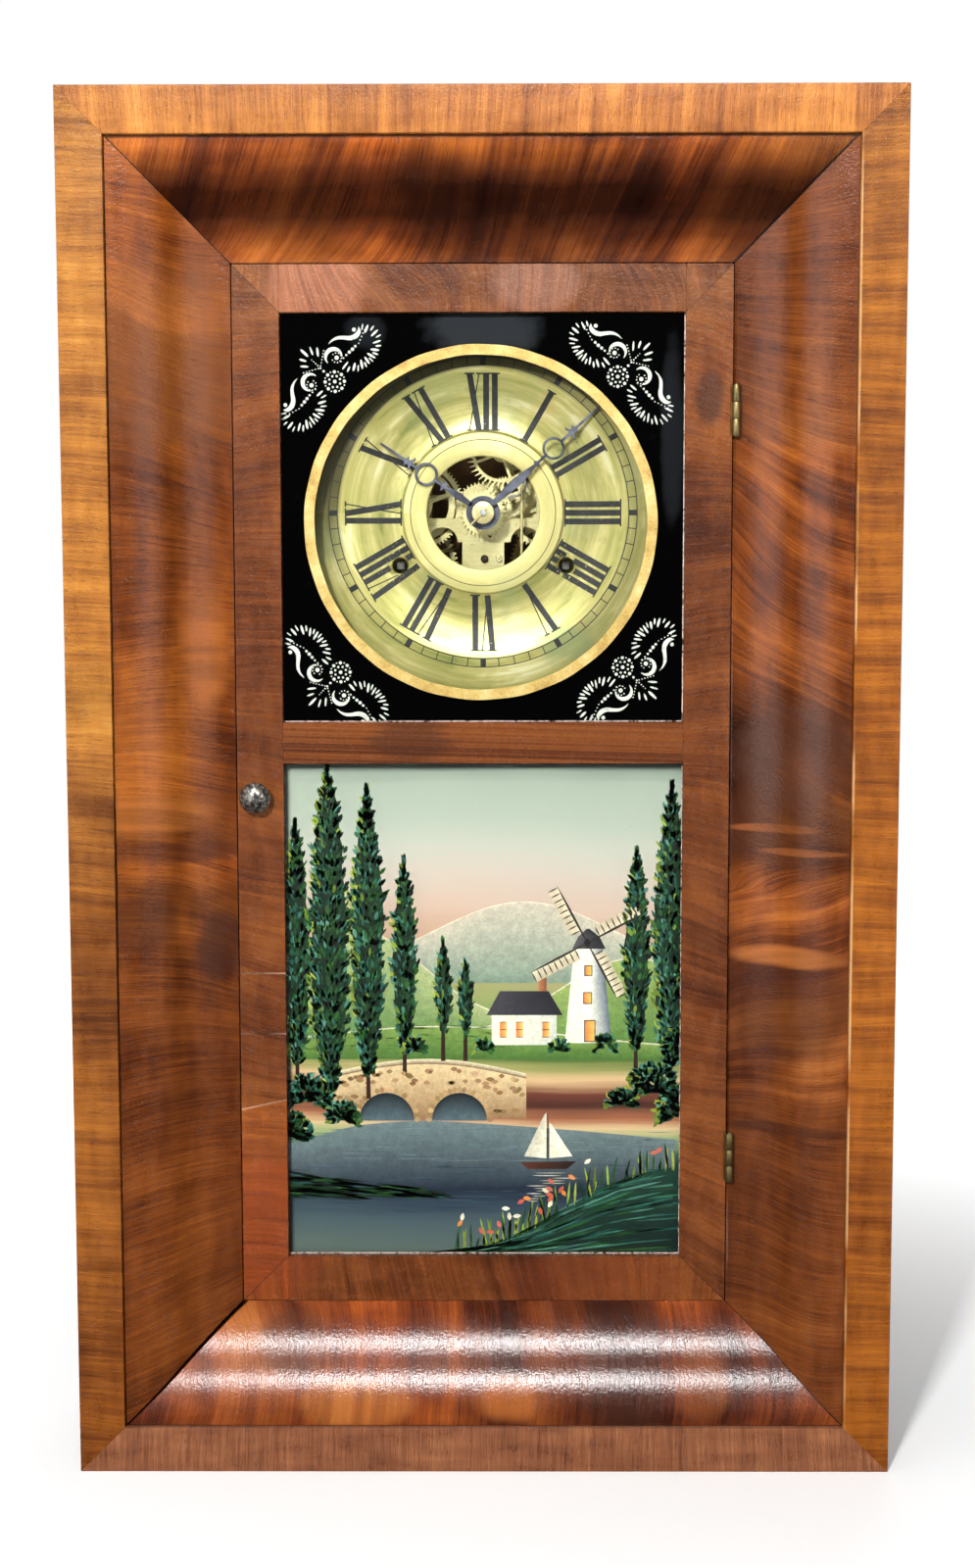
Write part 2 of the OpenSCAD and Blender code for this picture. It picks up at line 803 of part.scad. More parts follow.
module plate_blank() {
    c = plate_corner;
    x = plate_half;
    z = plate_z;
    polygon([[-x, z[0] + c], [-x + c, z[0]], [x - c, z[0]], [x, z[0] + c], [x, z[1] - c], [x - c, z[1]],
        [-x + c, z[1]], [-x, z[1] - c]]);
}

// Cut-outs that lighten a plate and show the wheels through the dial
window_x = 26.5;
window_z = [-2.2, 33];
arch_r = 7.4;
arch_mid_z = -14;
arch_foot_z = -45;

module plate_windows() {
    translate([-window_x, window_z[0]]) square([2 * window_x, window_z[1] - window_z[0]]);
    for (arch = [[-20.2, -27.7, -10.5], [21, 10.4, 28.4]]) {
        translate([arch[0], arch_mid_z]) circle(r = arch_r);
        translate([arch[1], arch_foot_z]) square([arch[2] - arch[1], arch_mid_z - arch_foot_z]);
    }
}

lever_r = 1.2;

module front_plate() {
    color("goldenrod") movement() difference() {
        union() {
            slab(plate_y) difference() {
                plate_blank();
                plate_windows();
                pivot_holes();
                translate(lever_at) circle(r = lever_r + play);
            }
            rod([0, 0], 5, plate_y);
            slab(plate_y) bar([motion_at[0], -4], motion_at, 6);
            rod(motion_at, 3, plate_y);
            rod(motion_at, stud_r, [hour_wheel_y[0] - 0.6, plate_y[1]]);
            rod(count_at, stud_r, [count_y[0] - 1, plate_y[1]]);
            rod(verge_at, stud_r, [1.2, plate_y[1]]);
            rod([7.9, -22.2], 1.5, [plate_y[0] - 1.6, plate_y[1]]);
            rod([0.7, -22.7], 1.7, [plate_y[0] - 0.7, plate_y[1]]);
        }
        rod([0, 0], arbor_r + play, [0, 30]);
    }
}

module back_plate() {
    color("goldenrod") movement() difference() {
        union() {
            slab([rear_y, rear_end]) difference() {
                plate_blank();
                plate_windows();
                pivot_holes();
                translate(lever_at) circle(r = pivot_r + play, $fn = 24);
            }
            rod([0, 0], 4, [rear_y, rear_end]);
            slab([rear_y, rear_end]) bar([-28, 9.3], [28, 9.3], 2.6);
            rod(escape_at, 3, [rear_y, rear_end]);
            slab([rear_y, rear_end]) bar(escape_at, [escape_at[0], 36], 4);
            slab([rear_y, rear_end]) bar([0, -6], [0, 10], 4);
        }
        for (p = [[0, 0], escape_at]) {
            rod(p, pivot_r + play, [rear_y - 1, rear_end + 1]);
        }
        translate([0, 0, -dial_z]) screw_shafts(screw_r + nail_play);
    }
}

module plate_pillars() {
    color("gold") movement() for (p = pillars_at) {
        turned(p, [[0, plate_y[0] - 1.4], [1.5, plate_y[0] - 1.4], [1.5, plate_y[1]], [3.2, plate_y[1]],
            [3.2, plate_y[1] + 3], [2.2, plate_y[1] + 5], [2.2, rear_y - 5], [3.2, rear_y - 3],
            [3.2, rear_y], [1.5, rear_y], [1.5, rear_end], [0, rear_end]]);
    }
}

// The escape arbor's front cock, and the post that the pendulum hangs from
module movement_cocks() {
    foot = [-6.5, 43.5];
    color("gold") movement() {
        difference() {
            union() {
                slab([0, 1.4]) union() {
                    bar(escape_at, foot, 4.4);
                    translate(escape_at) circle(r = 3);
                    translate(foot) circle(r = 3);
                }
                rod(foot, 2.5, [1, plate_y[0]]);
            }
            rod(escape_at, 0.65, [-1, 2]);
        }
        box([hang_at[0] - 3, hang_at[0] + 3], [-2, plate_y[0]], [hang_at[1], hang_at[1] + 6]);
    }
}

// Drum with its winding arbor, square and ratchet
module drum_body() {
    x0 = plate_y[1] + drum_layer[0];
    x1 = plate_y[1] + drum_layer[1];
    turned([0, 0], [[0, 2], [drum_arbor_r - 0.1, 2], [drum_arbor_r, 3], [drum_arbor_r, x0], [15, x0], [15, x0 + 1.2],
        [drum_r, x0 + 1.2], [drum_r, x1 - 1.2], [15, x1 - 1.2], [15, x1], [drum_arbor_r, x1],
        [drum_arbor_r, rear_end], [0, rear_end]]);
    slab([-3, 2.5]) translate([-1.75, -1.75]) square(3.5);
    layer([22, 24]) polygon(tooth_ring(16, 7, 9, 10, 1, 0, 8));
}

module time_drum() {
    color("darkgray") place(time_great_at) drum_body();
}

module strike_drum() {
    color("darkgray") place(strike_great_at) mirror([1, 0, 0]) drum_body();
}

// Great wheel, with its click drawn just clear of the ratchet
module great_wheel(phase) {
    click_at = polar([0, 0], 16, arm_start);
    layer(great_layer) difference() {
        crossed(great_teeth, great_module, phase, 6, 5);
        circle(r = drum_arbor_r + play);
    }
    layer([22.5, 24]) difference() {
        bar(click_at, [5.6, 9.4], 3.2);
        circle(r = 9.5);
    }
    layer([22.5, great_layer[0] + 0.3]) translate(click_at) circle(r = 1.8);
}

module time_great_wheel() {
    color("gold") place(time_great_at) great_wheel(toward(time_great_at, time_second_at));
}

module strike_great_wheel() {
    color("gold") place(strike_great_at) great_wheel(toward(strike_great_at, strike_second_at));
}

module time_second_wheel() {
    color("gold") place(time_second_at) {
        arbor(arbor_r);
        lantern(second_pins, great_module, gap_phase(toward(time_great_at, time_second_at), second_pins), great_layer);
        layer(second_layer) crossed(second_teeth, second_module, toward(time_second_at, time_third_at), 4);
        layer(transfer_layer) gear(transfer_teeth, transfer_module, toward(time_second_at, [0, 0]));
    }
}

module time_third_wheel() {
    color("gold") place(time_third_at) {
        arbor(1.3);
        lantern(third_pins, second_module, gap_phase(toward(time_second_at, time_third_at), third_pins), second_layer);
        layer(third_layer) crossed(time_third_teeth, third_module, toward(time_third_at, escape_at), 3.5);
    }
}

module escape_wheel() {
    color("gold") place(escape_at) {
        lantern(escape_pins, third_module, gap_phase(toward(time_third_at, escape_at), escape_pins), third_layer);
        rod([0, 0], fine_arbor_r, [escape_y[0] - 1, rear_y - 0.2]);
        rod([0, 0], 0.6, [0, 4]);
        rod([0, 0], pivot_r, [rear_y - 1, rear_end]);
        rod([0, 0], 3, [escape_y[0] - 0.6, escape_y[1] + 0.8]);
        slab(escape_y) difference() {
            polygon(tooth_ring(escape_teeth, 14.4, escape_tip_r, 2.3, 0.3, 0, -1.8));
            difference() {
                circle(r = 12.9);
                circle(r = 4.5);
                for (k = [0 : 3]) {
                    rotate(90 * k + 20) translate([0, -0.7]) square([13.4, 1.4]);
                }
            }
        }
    }
}

// Bent strip with two pallets on a saddle, and the wire that drives the pendulum with its fork
module verge_and_crutch() {
    reach = escape_tip_r + 2.1;
    mid = toward(escape_at, verge_at);
    wire_r = 0.6;
    wire_y = 2.4;
    hook_r = 4;
    wire_x = verge_at[0] + 1.6;
    wire = concat([[wire_x, verge_at[1]], [wire_x, fork_z + hook_r + 1]],
        arc([wire_x - hook_r, fork_z + hook_r], hook_r, 0, -80, 6), [[wire_x - 8.5, fork_z - 0.8]]);
    color("silver") movement() {
        difference() {
            union() {
                rod(verge_at, 2.4, [1.4, 5.8]);
                slab([3.4, 5.8]) for (s = [-1, 1]) {
                    tip = polar(escape_at, reach, mid + s * 32);
                    bar(verge_at, tip, 0.8);
                }
                tube(wire, wire_y, wire_r);
                box([verge_at[0] - 1.8, verge_at[0] - 1.1], [-1.2, wire_y], [fork_z - 0.4, fork_z + 1.2]);
                box([verge_at[0] + 1.1, verge_at[0] + 1.8], [-1.2, wire_y], [fork_z + 3, fork_z + 4.6]);
            }
            rod(verge_at, stud_r + play, [0, 7]);
        }
    }
}

bob_r = 22;
bob_t = 11;

module pendulum() {
    bob_z = hang_at[1] - pendulum_len;
    strip_z = hang_at[1] - 13;
    cap_r = (bob_r * bob_r + bob_t * bob_t / 4) / bob_t;
    cap = asin(bob_r / cap_r);
    color("silver") movement() {
        box([hang_at[0] - 1.5, hang_at[0] + 1.5], [rod_y_mid - 0.15, rod_y_mid + 0.15], [strip_z, hang_at[1] - 0.1]);
        translate([hang_at[0], rod_y_mid, bob_z - bob_r - 12]) cylinder(h = strip_z - bob_z + bob_r + 13, r = 0.7);
        translate([hang_at[0], rod_y_mid, bob_z - bob_r - 3]) cylinder(h = 2.4, r = 3.2);
    }
    color("gold") movement() difference() {
        turned([hang_at[0], bob_z], concat(
            [for (i = [0 : 8]) let (a = cap * i / 8) [cap_r * sin(a), rod_y_mid - cap_r * cos(a) + cap_r - bob_t / 2]],
            [for (i = [8 : -1 : 0]) let (a = cap * i / 8)
                [cap_r * sin(a) + (i == 8 ? 0.01 : 0), rod_y_mid + cap_r * cos(a) - cap_r + bob_t / 2 + 0.2]]));
        translate([hang_at[0], rod_y_mid, bob_z - bob_r - 2]) cylinder(h = 2 * bob_r + 4, r = 0.8);
    }
}

// Motion work

hour_pipe_r = 3;
stud_r = 1;

module centre_wheel() {
    color("gold") movement() layer(transfer_layer) difference() {
        gear(transfer_teeth, transfer_module, gap_phase(toward(time_second_at, [0, 0]), transfer_teeth));
        circle(r = arbor_r + play);
    }
}

module minute_arbor() {
    color("silver") movement() difference() {
        union() {
            rod([0, 0], arbor_r, [arbor_tip_y, rear_y - 0.2]);
            rod([0, 0], pivot_r, [rear_y - 1, rear_end]);
            slab([minute_wheel_y[0] - 0.2, minute_wheel_y[1] + 0.2])
                gear(cannon_teeth, minute_module, toward([0, 0], motion_at));
            layer([transfer_layer[1] + 0.2, transfer_layer[1] + 1.4]) circle(r = 4);
        }
        translate([0, hand_pin_y, 0]) rotate([0, 45, 0]) translate([0, 0, -7]) cylinder(h = 14, r = 0.5);
    }
}

module minute_wheel() {
    color("gold") place(motion_at) difference() {
        union() {
            slab(minute_wheel_y)
                crossed(minute_teeth, minute_module, gap_phase(toward([0, 0], motion_at), minute_teeth), 3);
            rod([0, 0], 1.8, [hour_wheel_y[0] - 0.2, minute_wheel_y[0] + 0.1]);
            slab([hour_wheel_y[0] - 0.2, hour_wheel_y[1] + 0.2])
                gear(minute_pinion_teeth, hour_module, toward(motion_at, [0, 0]));
        }
        rod([0, 0], stud_r + play, [0, 30]);
    }
}

module hour_wheel() {
    color("gold") movement() difference() {
        union() {
            slab(hour_wheel_y) gear(hour_teeth, hour_module, gap_phase(toward(motion_at, [0, 0]), hour_teeth));
            rod([0, 0], hour_pipe_r, [hour_y[0] - 0.4, hour_wheel_y[1]]);
        }
        rod([0, 0], arbor_r + play, [-20, 20]);
    }
}

// Strike train

module strike_second_wheel() {
    color("gold") place(strike_second_at) {
        arbor(arbor_r);
        lantern(second_pins, great_module, gap_phase(toward(strike_great_at, strike_second_at), second_pins), great_layer);
        layer(second_layer) union() {
            crossed(second_teeth, second_module, toward(strike_second_at, strike_third_at), 4);
            difference() {
                circle(r = lift_r + 1.6);
                circle(r = lift_r - 1.6);
            }
        }
        for (k = [0 : lift_pins - 1]) {
            layer([second_layer[1] - 0.2, transfer_layer[0] - 0.3])
                translate(polar([0, 0], lift_r, 60 * k))
                    circle(r = 0.6, $fn = 16);
        }
    }
}

module strike_third_wheel() {
    color("gold") place(strike_third_at) {
        arbor(1.3);
        lantern(third_pins, second_module, gap_phase(toward(strike_second_at, strike_third_at), third_pins), second_layer);
        layer(third_layer) crossed(strike_third_teeth, third_module, toward(strike_third_at, fly_at), 3.5);
    }
}

module strike_fly() {
    color("gold") place(fly_at) {
        arbor(1);
        lantern(fly_pins, third_module, gap_phase(toward(strike_third_at, fly_at), fly_pins), third_layer);
        layer(fly_layer) union() {
            translate([-14, -0.25]) square([28, 0.5]);
            circle(r = 2);
        }
    }
}

// The notches stand after one, two, three blows and so on up to twelve
module count_wheel() {
    blows = 78;
    color("gold") place(count_at) slab(count_y) difference() {
        circle(r = count_r);
        for (n = [1 : 12]) {
            rotate(360 * n * (n + 1) / 2 / blows) translate([count_r - 3, -0.8]) square([4, 1.6]);
        }
        circle(r = stud_r + play);
    }
}

module strike_lever() {
    tip = polar(count_at, count_r + 0.5, toward(count_at, lever_at));
    color("silver") place(lever_at) {
        rod([0, 0], lever_r, [count_y[0] - 0.4, rear_y - 0.2]);
        rod([0, 0], pivot_r, [rear_y - 1, rear_end]);
        slab(count_y) bar([0, 0], tip - lever_at, 2);
        layer([12, 13.2]) bar([0, 0], [-8, -14], 2);
    }
}

module hammer() {
    tail = polar(strike_second_at, lift_r + 1.1, toward(strike_second_at, hammer_at));
    head_at = [gong_at[0] - gong_r - gong_wire_r - 7.6, gong_at[1] - dial_z];
    color("silver") movement() {
        translate([hammer_at[0], 0, hammer_at[1]]) {
            arbor(arbor_r);
            layer([second_layer[1] + 0.3, second_layer[1] + 1.3]) bar([0, 0], tail - hammer_at, 2.2);
            rod([0, 0], 2.6, [gong_y - 2.5, gong_y + 2.5]);
        }
        slope = norm(head_at - hammer_at);
        translate([hammer_at[0], gong_y, hammer_at[1]])
            rotate([0, 90 - toward(hammer_at, head_at), 0])
                cylinder(h = slope, r = 0.9);
        translate([head_at[0], gong_y, head_at[1]])
            rotate([0, 90, 0])
                translate([0, 0, -6])
                    cylinder(h = 12, r = 4);
    }
}

module gong() {
    inner_end = [polar(gong_at, gong_post_r + 0.1, -42), polar(gong_at, gong_start_r - 2, -22)];
    color("slategray") {
        tube(concat(inner_end, gong_spiral), gong_y, gong_wire_r);
        difference() {
            rod(gong_at, gong_post_r, [gong_y - 4, back_in]);
            rod(gong_at, 2, [gong_y - 5, gong_y + 3]);
        }
    }
}

// Pulleys, cords and weights

module pulley() {
    groove = pulley_r - cord_r;
    turned([0, 0], [[axle_r + play, cord_y - 3], [pulley_r + 1.2, cord_y - 3], [pulley_r + 1.2, cord_y - 2.2],
        [groove, cord_y - 1], [groove, cord_y + 1], [pulley_r + 1.2, cord_y + 2.2],
        [pulley_r + 1.2, cord_y + 3], [axle_r + play, cord_y + 3]]);
}

module pulley_right() {
    color("burlywood") translate([pulley_at[0], 0, pulley_at[1]]) pulley();
}

module pulley_left() {
    color("burlywood") translate([-pulley_at[0], 0, pulley_at[1]]) pulley();
}

// Tin caps over the pulley slots, with the axles under them
module pulley_covers() {
    cap_x = slot_half + 2.2;
    cap_y = [axle_y[0] - 1.5, axle_y[1] + 1.5];
    cap_h = 12;
    color("gray") for (s = [-1, 1]) {
        translate([s * pulley_at[0], 0, case_h]) difference() {
            box([-cap_x, cap_x], cap_y, [0, cap_h]);
            box([-cap_x + 0.6, cap_x - 0.6], [cap_y[0] + 0.6, cap_y[1] - 0.6], [-1, cap_h - 0.6]);
        }
        rod([s * pulley_at[0], pulley_at[1]], axle_r, axle_y);
    }
}

function cord_route() =
    concat(arc(time_great_at + [0, dial_z], drum_cord_r, riser_angle - 250, riser_angle, 20),
        arc(pulley_at, pulley_cord_r, riser_angle + 180, 0, 14));

module cord_risers() {
    color("wheat") for (s = [0, 1]) {
        mirror([s, 0, 0]) tube(cord_route(), cord_y, cord_r);
    }
}

hook_h = 12;

module cord_fall() {
    color("wheat") translate([fall_x, cord_y, hook_z + hook_h])
        cylinder(h = pulley_at[1] - hook_z - hook_h, r = cord_r);
}

module cord_fall_right() {
    cord_fall();
}

module cord_fall_left() {
    mirror([1, 0, 0]) cord_fall();
}

module weight() {
    x = weight_size[0] / 2;
    y = weight_size[1] / 2;
    c = 3;
    translate([fall_x, cord_y, weight_z0])
        linear_extrude(weight_h)
            polygon([[-x, -y + c], [-x + c, -y], [x - c, -y], [x, -y + c], [x, y - c], [x - c, y], [-x + c, y], [-x, y - c]]);
    translate([fall_x, cord_y, hook_z + hook_h / 2 - 0.8])
        rotate([90, 0, 0])
            rotate_extrude()
                translate([hook_h / 2 - 0.4, 0])
                    circle(r = 1.2, $fn = 24);
}

module time_weight() {
    color("dimgray") weight();
}

module strike_weight() {
    color("dimgray") mirror([1, 0, 0]) weight();
}

case_side_left();
case_side_right();
case_top();
case_bottom();
back_board();
nails_and_screws();
facing_strips();
ogee_top();
ogee_bottom();
ogee_left();
ogee_right();
inner_boards();
case_hinge_leaves();
door_hinge_leaves();
door_stile_left();
door_stile_right();
door_top_rail();
door_middle_rail();
door_bottom_rail();
upper_glass();
lower_glass();
glazing_strips();
door_knob();
latch_tongue();
dial();
front_plate();
back_plate();
plate_pillars();
movement_cocks();
time_drum();
time_great_wheel();
time_second_wheel();
time_third_wheel();
escape_wheel();
verge_and_crutch();
pendulum();
centre_wheel();
minute_arbor();
minute_wheel();
hour_wheel();
hour_hand();
minute_hand();
hand_washer();
strike_drum();
strike_great_wheel();
strike_second_wheel();
strike_third_wheel();
strike_fly();
count_wheel();
strike_lever();
hammer();
gong();
pulley_covers();
pulley_right();
pulley_left();
cord_risers();
cord_fall_right();
cord_fall_left();
time_weight();
strike_weight();
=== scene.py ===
import cmath
import math
import random

import bmesh
import bpy
from mathutils import Matrix, Vector


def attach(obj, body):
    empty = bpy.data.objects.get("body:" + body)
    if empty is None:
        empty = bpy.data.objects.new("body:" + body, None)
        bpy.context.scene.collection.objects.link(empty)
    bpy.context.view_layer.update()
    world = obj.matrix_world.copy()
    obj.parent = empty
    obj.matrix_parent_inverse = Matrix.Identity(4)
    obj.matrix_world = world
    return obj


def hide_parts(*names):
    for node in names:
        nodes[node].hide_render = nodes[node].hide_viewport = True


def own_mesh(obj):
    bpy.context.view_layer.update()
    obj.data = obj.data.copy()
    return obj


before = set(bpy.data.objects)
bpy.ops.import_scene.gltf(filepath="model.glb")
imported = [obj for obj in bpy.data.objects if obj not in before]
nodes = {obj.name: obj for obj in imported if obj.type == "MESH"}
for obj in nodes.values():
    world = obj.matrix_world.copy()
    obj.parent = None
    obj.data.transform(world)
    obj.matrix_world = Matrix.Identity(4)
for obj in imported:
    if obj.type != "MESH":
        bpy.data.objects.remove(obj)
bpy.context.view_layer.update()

# The room: a white table in a white surround. A soft window of light hangs in front, above the
# clock, with a smaller one to each side. What lies level with the glass in front stays dim.
mm = 0.001
scene = bpy.context.scene
scene.view_settings.view_transform = "Standard"


def tone(red, green, blue):
    """A colour on the usual 0 to 255 scale, as the linear light that the shaders use."""
    light = [((v / 255 + 0.055) / 1.055) ** 2.4 if v > 10 else v / 3295 for v in (red, green, blue)]
    return (*light, 1.0)


class Value:
    """A value, colour or direction inside a finish. Sums on it add their nodes."""

    def __init__(self, finish, socket):
        self.finish = finish
        self.socket = socket

    def math(self, operation, *others):
        return self.finish.node("Math", dict(enumerate((self, *others))), operation=operation)

    def __add__(self, other):
        return self.math("ADD", other)

    def __sub__(self, other):
        return self.math("SUBTRACT", other)

    def __rsub__(self, other):
        return self.finish.node("Math", {0: other, 1: self}, operation="SUBTRACT")

    def __mul__(self, other):
        return self.math("MULTIPLY", other)

    def __truediv__(self, other):
        return self.math("DIVIDE", other)

    def __pow__(self, other):
        return self.math("POWER", other)

    def __lt__(self, other):
        return self.math("LESS_THAN", other)

    def __abs__(self):
        return self.math("ABSOLUTE")

    __radd__ = __add__
    __rmul__ = __mul__

    def rise(self, low, high):
        """0 up to low and 1 from high on, with a smooth step between them."""
        return self.finish.node("MapRange", {0: self, 1: low, 2: high}, interpolation_type="SMOOTHSTEP")


class Finish:
    """One material of the clock, or the light of the room, built up from shader nodes."""

    def __init__(self, name, kind=bpy.data.materials):
        self.made = kind.new(name)
        self.made.use_nodes = True
        self.tree = self.made.node_tree
        self.tree.nodes.clear()
        self.at = self.node("TexCoord", out="Object")
        self.x, self.y, self.z = self.split(self.at)

    def node(self, kind, sockets=None, out=0, **settings):
        """Any node. Three plain numbers on a colour socket are a colour on the 0 to 255 scale."""
        made = self.tree.nodes.new("ShaderNode" + kind)
        for key, setting in settings.items():
            setattr(made, key, setting)
        for key, given in (sockets or {}).items():
            if isinstance(given, Value):
                self.tree.links.new(given.socket, made.inputs[key])
            elif made.inputs[key].type == "RGBA" and len(given) == 3:
                made.inputs[key].default_value = tone(*given)
            else:
                made.inputs[key].default_value = given
        return Value(self, made.outputs[out]) if made.outputs else None

    def split(self, vector):
        outputs = self.node("SeparateXYZ", {0: vector}).socket.node.outputs
        return [Value(self, socket) for socket in outputs]

    def vector(self, x, y, z=0.0):
        return self.node("CombineXYZ", {0: x, 1: y, 2: z})

    def noise(self, scale, detail=2.0, roughness=0.5, at=None):
        sockets = {"Vector": at or self.at, "Scale": scale, "Detail": detail, "Roughness": roughness}
        return self.node("TexNoise", sockets)

    def grain(self, x, y, z, detail=2.0, roughness=0.5):
        """Noise drawn out by a different scale along each of three ways."""
        return self.noise(1, detail, roughness, self.vector(x, y, z))

    def stops(self, value, stops):
        """Colours that change with a value, from pairs of a place and a colour."""
        made = self.node("ValToRGB", {0: value})
        elements = made.socket.node.color_ramp.elements
        for i, (place, colour) in enumerate(stops):
            stop = elements[i] if i < 2 else elements.new(place)
            stop.position = place
            stop.color = colour
        return made

    def ramp(self, value, *stops):
        """Colours that change with a value. A stop is its place, then its colour from 0 to 255."""
        return self.stops(value, [(place, tone(*colour)) for place, *colour in stops])

    def course(self, value, amounts):
        """A number that changes with a value, from pairs of a place and an amount."""
        return self.stops(value, [(place, (amount, amount, amount, 1)) for place, amount in amounts])

    def mix(self, share, first, second, how="MIX"):
        sockets = {0: share, 6: first, 7: second}
        return self.node("Mix", sockets, 2, data_type="RGBA", blend_type=how)

    def times(self, colour, tint):
        return self.mix(1.0, colour, tint, "MULTIPLY")

    def tinted(self, colour, value, stops):
        """Multiplies a colour by tints that change with a value. A stop is a place and a tint in percent."""
        tints = [(place / 100, [share / 100 for share in tint] + [1]) for place, *tint in stops]
        return self.times(colour, self.stops(value, tints))

    def done(self, colour, roughness, bump=None, depth=0.1, **shader):
        """Ends the finish with its shader. depth is the height of the bump in millimetres."""
        sockets = {"Base Color": colour, "Roughness": roughness}
        for key, value in shader.items():
            sockets[key.replace("_", " ").title().replace("Ior", "IOR")] = value
        if bump is not None:
            sockets["Normal"] = self.node("Bump", {"Distance": depth * mm, "Height": bump})
        self.node("OutputMaterial", {0: self.node("BsdfPrincipled", sockets)})
        return self.made


def piece(name, shape, finish, body="case", sharp=15, tidy=True):
    """A bmesh made into a piece of the scene, which rides on a body of the clock."""
    if tidy:
        bmesh.ops.recalc_face_normals(shape, faces=shape.faces)
    mesh = bpy.data.meshes.new(name)
    shape.to_mesh(mesh)
    shape.free()
    mesh.materials.append(finish)
    mesh.shade_smooth()
    mesh.set_sharp_from_angle(angle=math.radians(sharp))
    made = bpy.data.objects.new(name, mesh)
    scene.collection.objects.link(made)
    if body:
        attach(made, body)
    return made


def moved(shape, *steps):
    """Applies the given matrices to a whole bmesh, one after the other."""
    for step in steps:
        bmesh.ops.transform(shape, matrix=step, verts=shape.verts)
    return shape


table_white = Finish("table_white")
away = (table_white.x * table_white.x + table_white.y * table_white.y) ** 0.5
paper_grain = table_white.noise(90)
table_glow = table_white.course(away.rise(0.1, 0.9), ((0.0, 0.2), (1.0, 1)))
table_paper = table_white.done(
    (0.86, 0.86, 0.86, 1), paper_grain * 0.1 + 0.7, emission_strength=1.0, emission_color=table_glow)
room_r = 4
top = bmesh.new()
bmesh.ops.create_circle(top, cap_ends=True, radius=room_r, segments=96)
table = piece("table", top, table_paper, None, tidy=False)
table.visible_glossy = False
white = (1, 1, 1, 1)
surround_white = Finish("surround_white")
surround_white.node("OutputMaterial", {0: surround_white.node("Emission", {"Color": white, "Strength": 1.0})})
ball = bmesh.new()
bmesh.ops.create_uvsphere(ball, u_segments=64, v_segments=32, radius=room_r)
surround = piece("surround", ball, surround_white.made, None, sharp=60)
surround.visible_diffuse = surround.visible_glossy = surround.visible_shadow = False

room = Finish("dim_room", bpy.data.worlds)
height = room.split(room.node("TexCoord", out="Generated"))[2]
dim = room.course(height, ((0.0, 0.04), (0.9, 0.14)))
room.node("OutputWorld", {0: room.node("Background", {0: dim})})
scene.world = room.made

# Each light is a soft window of this size, wide and high, turned to a point on the clock's axis.
for name, power, size, place, aim_z, unseen_by in (
    ("front_window", 40, (0.8, 0.4), (0.0, -1.75, 1.5), 0.33, "diffuse"),
    ("key_lamp", 46, (0.14, 0.14), (-0.44, -1.7, 1.0), 0.33, "glossy"),
    ("left_window", 16, (1.3, 1.45), (-1.15, -1.45, 0.73), 0.33, "diffuse"),
    ("right_window", 8, (1.1, 1.0), (1.05, -1.45, 0.6), 0.33, "diffuse"),
    ("top_window", 5, (1.2, 0.9), (-0.5, -0.5, 1.8), 0.4, None),
    ("back_window", 8, (1.2, 0.9), (0.3, 1.7, 1.2), 0.33, None),
):
    lamp = bpy.data.lights.new(name, "AREA")
    lamp.shape = "RECTANGLE"
    lamp.size, lamp.size_y = size
    lamp.energy = power
    holder = bpy.data.objects.new(name, lamp)
    aimed = (Vector(place) - Vector((0, 0, aim_z))).to_track_quat("Z", "Y")
    holder.matrix_world = Matrix.Translation(place) @ aimed.to_matrix().to_4x4()
    if unseen_by:
        setattr(holder, "visible_" + unseen_by, False)
    scene.collection.objects.link(holder)

camera_at, turned_left, tipped_down, rolled = (0.0079, -1.0826, 0.4373), 0.0055, 0.0971, -0.0014
lens = bpy.data.cameras.new("camera")
lens.lens = 50
camera = bpy.data.objects.new("camera", lens)
camera.matrix_world = (
    Matrix.Translation(camera_at)
    @ Matrix.Rotation(turned_left, 4, "Z")
    @ Matrix.Rotation(math.pi / 2 - tipped_down, 4, "X")
    @ Matrix.Rotation(rolled, 4, "Z")
)
scene.collection.objects.link(camera)
scene.camera = camera

# The carcase: sides, top and bottom of pine, planed and stained dark, nailed through the back
# board in its rebate. The back board and the boards inside were left bare and have browned.
def pine(name, dark, mid, light, upright=True, gloss=0.55):
    wood = Finish(name)
    along, across = (wood.z, wood.x) if upright else (wood.x, wood.z)
    drift = wood.grain(along * 2.2, across * 9, wood.y * 9)
    rings = (across * 230 + wood.y * 150 + drift * 26).math("SINE") * 0.5 + 0.5
    fibre = wood.grain(along * 14, across * 900, wood.y * 900, 3)
    stain = wood.noise(7, 4)
    tint = wood.ramp(rings * 0.2 + fibre * 0.32 + stain * 0.4, (0.2, *dark), (0.5, *mid), (0.85, *light))
    marks = wood.grain(along * 60, across * 60, wood.y * 60, 5).rise(0.66, 0.74)
    tint = wood.mix(marks * 0.5, tint, dark)
    return wood.done(tint, fibre * 0.2 + gloss - stain * 0.1, fibre * 0.6 + rings * 0.4, 0.12)


def dress(finish, *names, ease=0.0):
    """Gives CAD pieces their finish, and takes off their sharp edges by so many millimetres."""
    for name in names:
        for place in nodes[name].material_slots:
            place.material = finish
        if ease:
            nodes[name].modifiers.new("joined", "WELD").merge_threshold = 0.001 * mm
            soft = nodes[name].modifiers.new("eased", "BEVEL")
            soft.width = ease * mm
            soft.segments = 2
            soft.limit_method = "ANGLE"
            soft.angle_limit = math.radians(50)
            soft.use_clamp_overlap = False


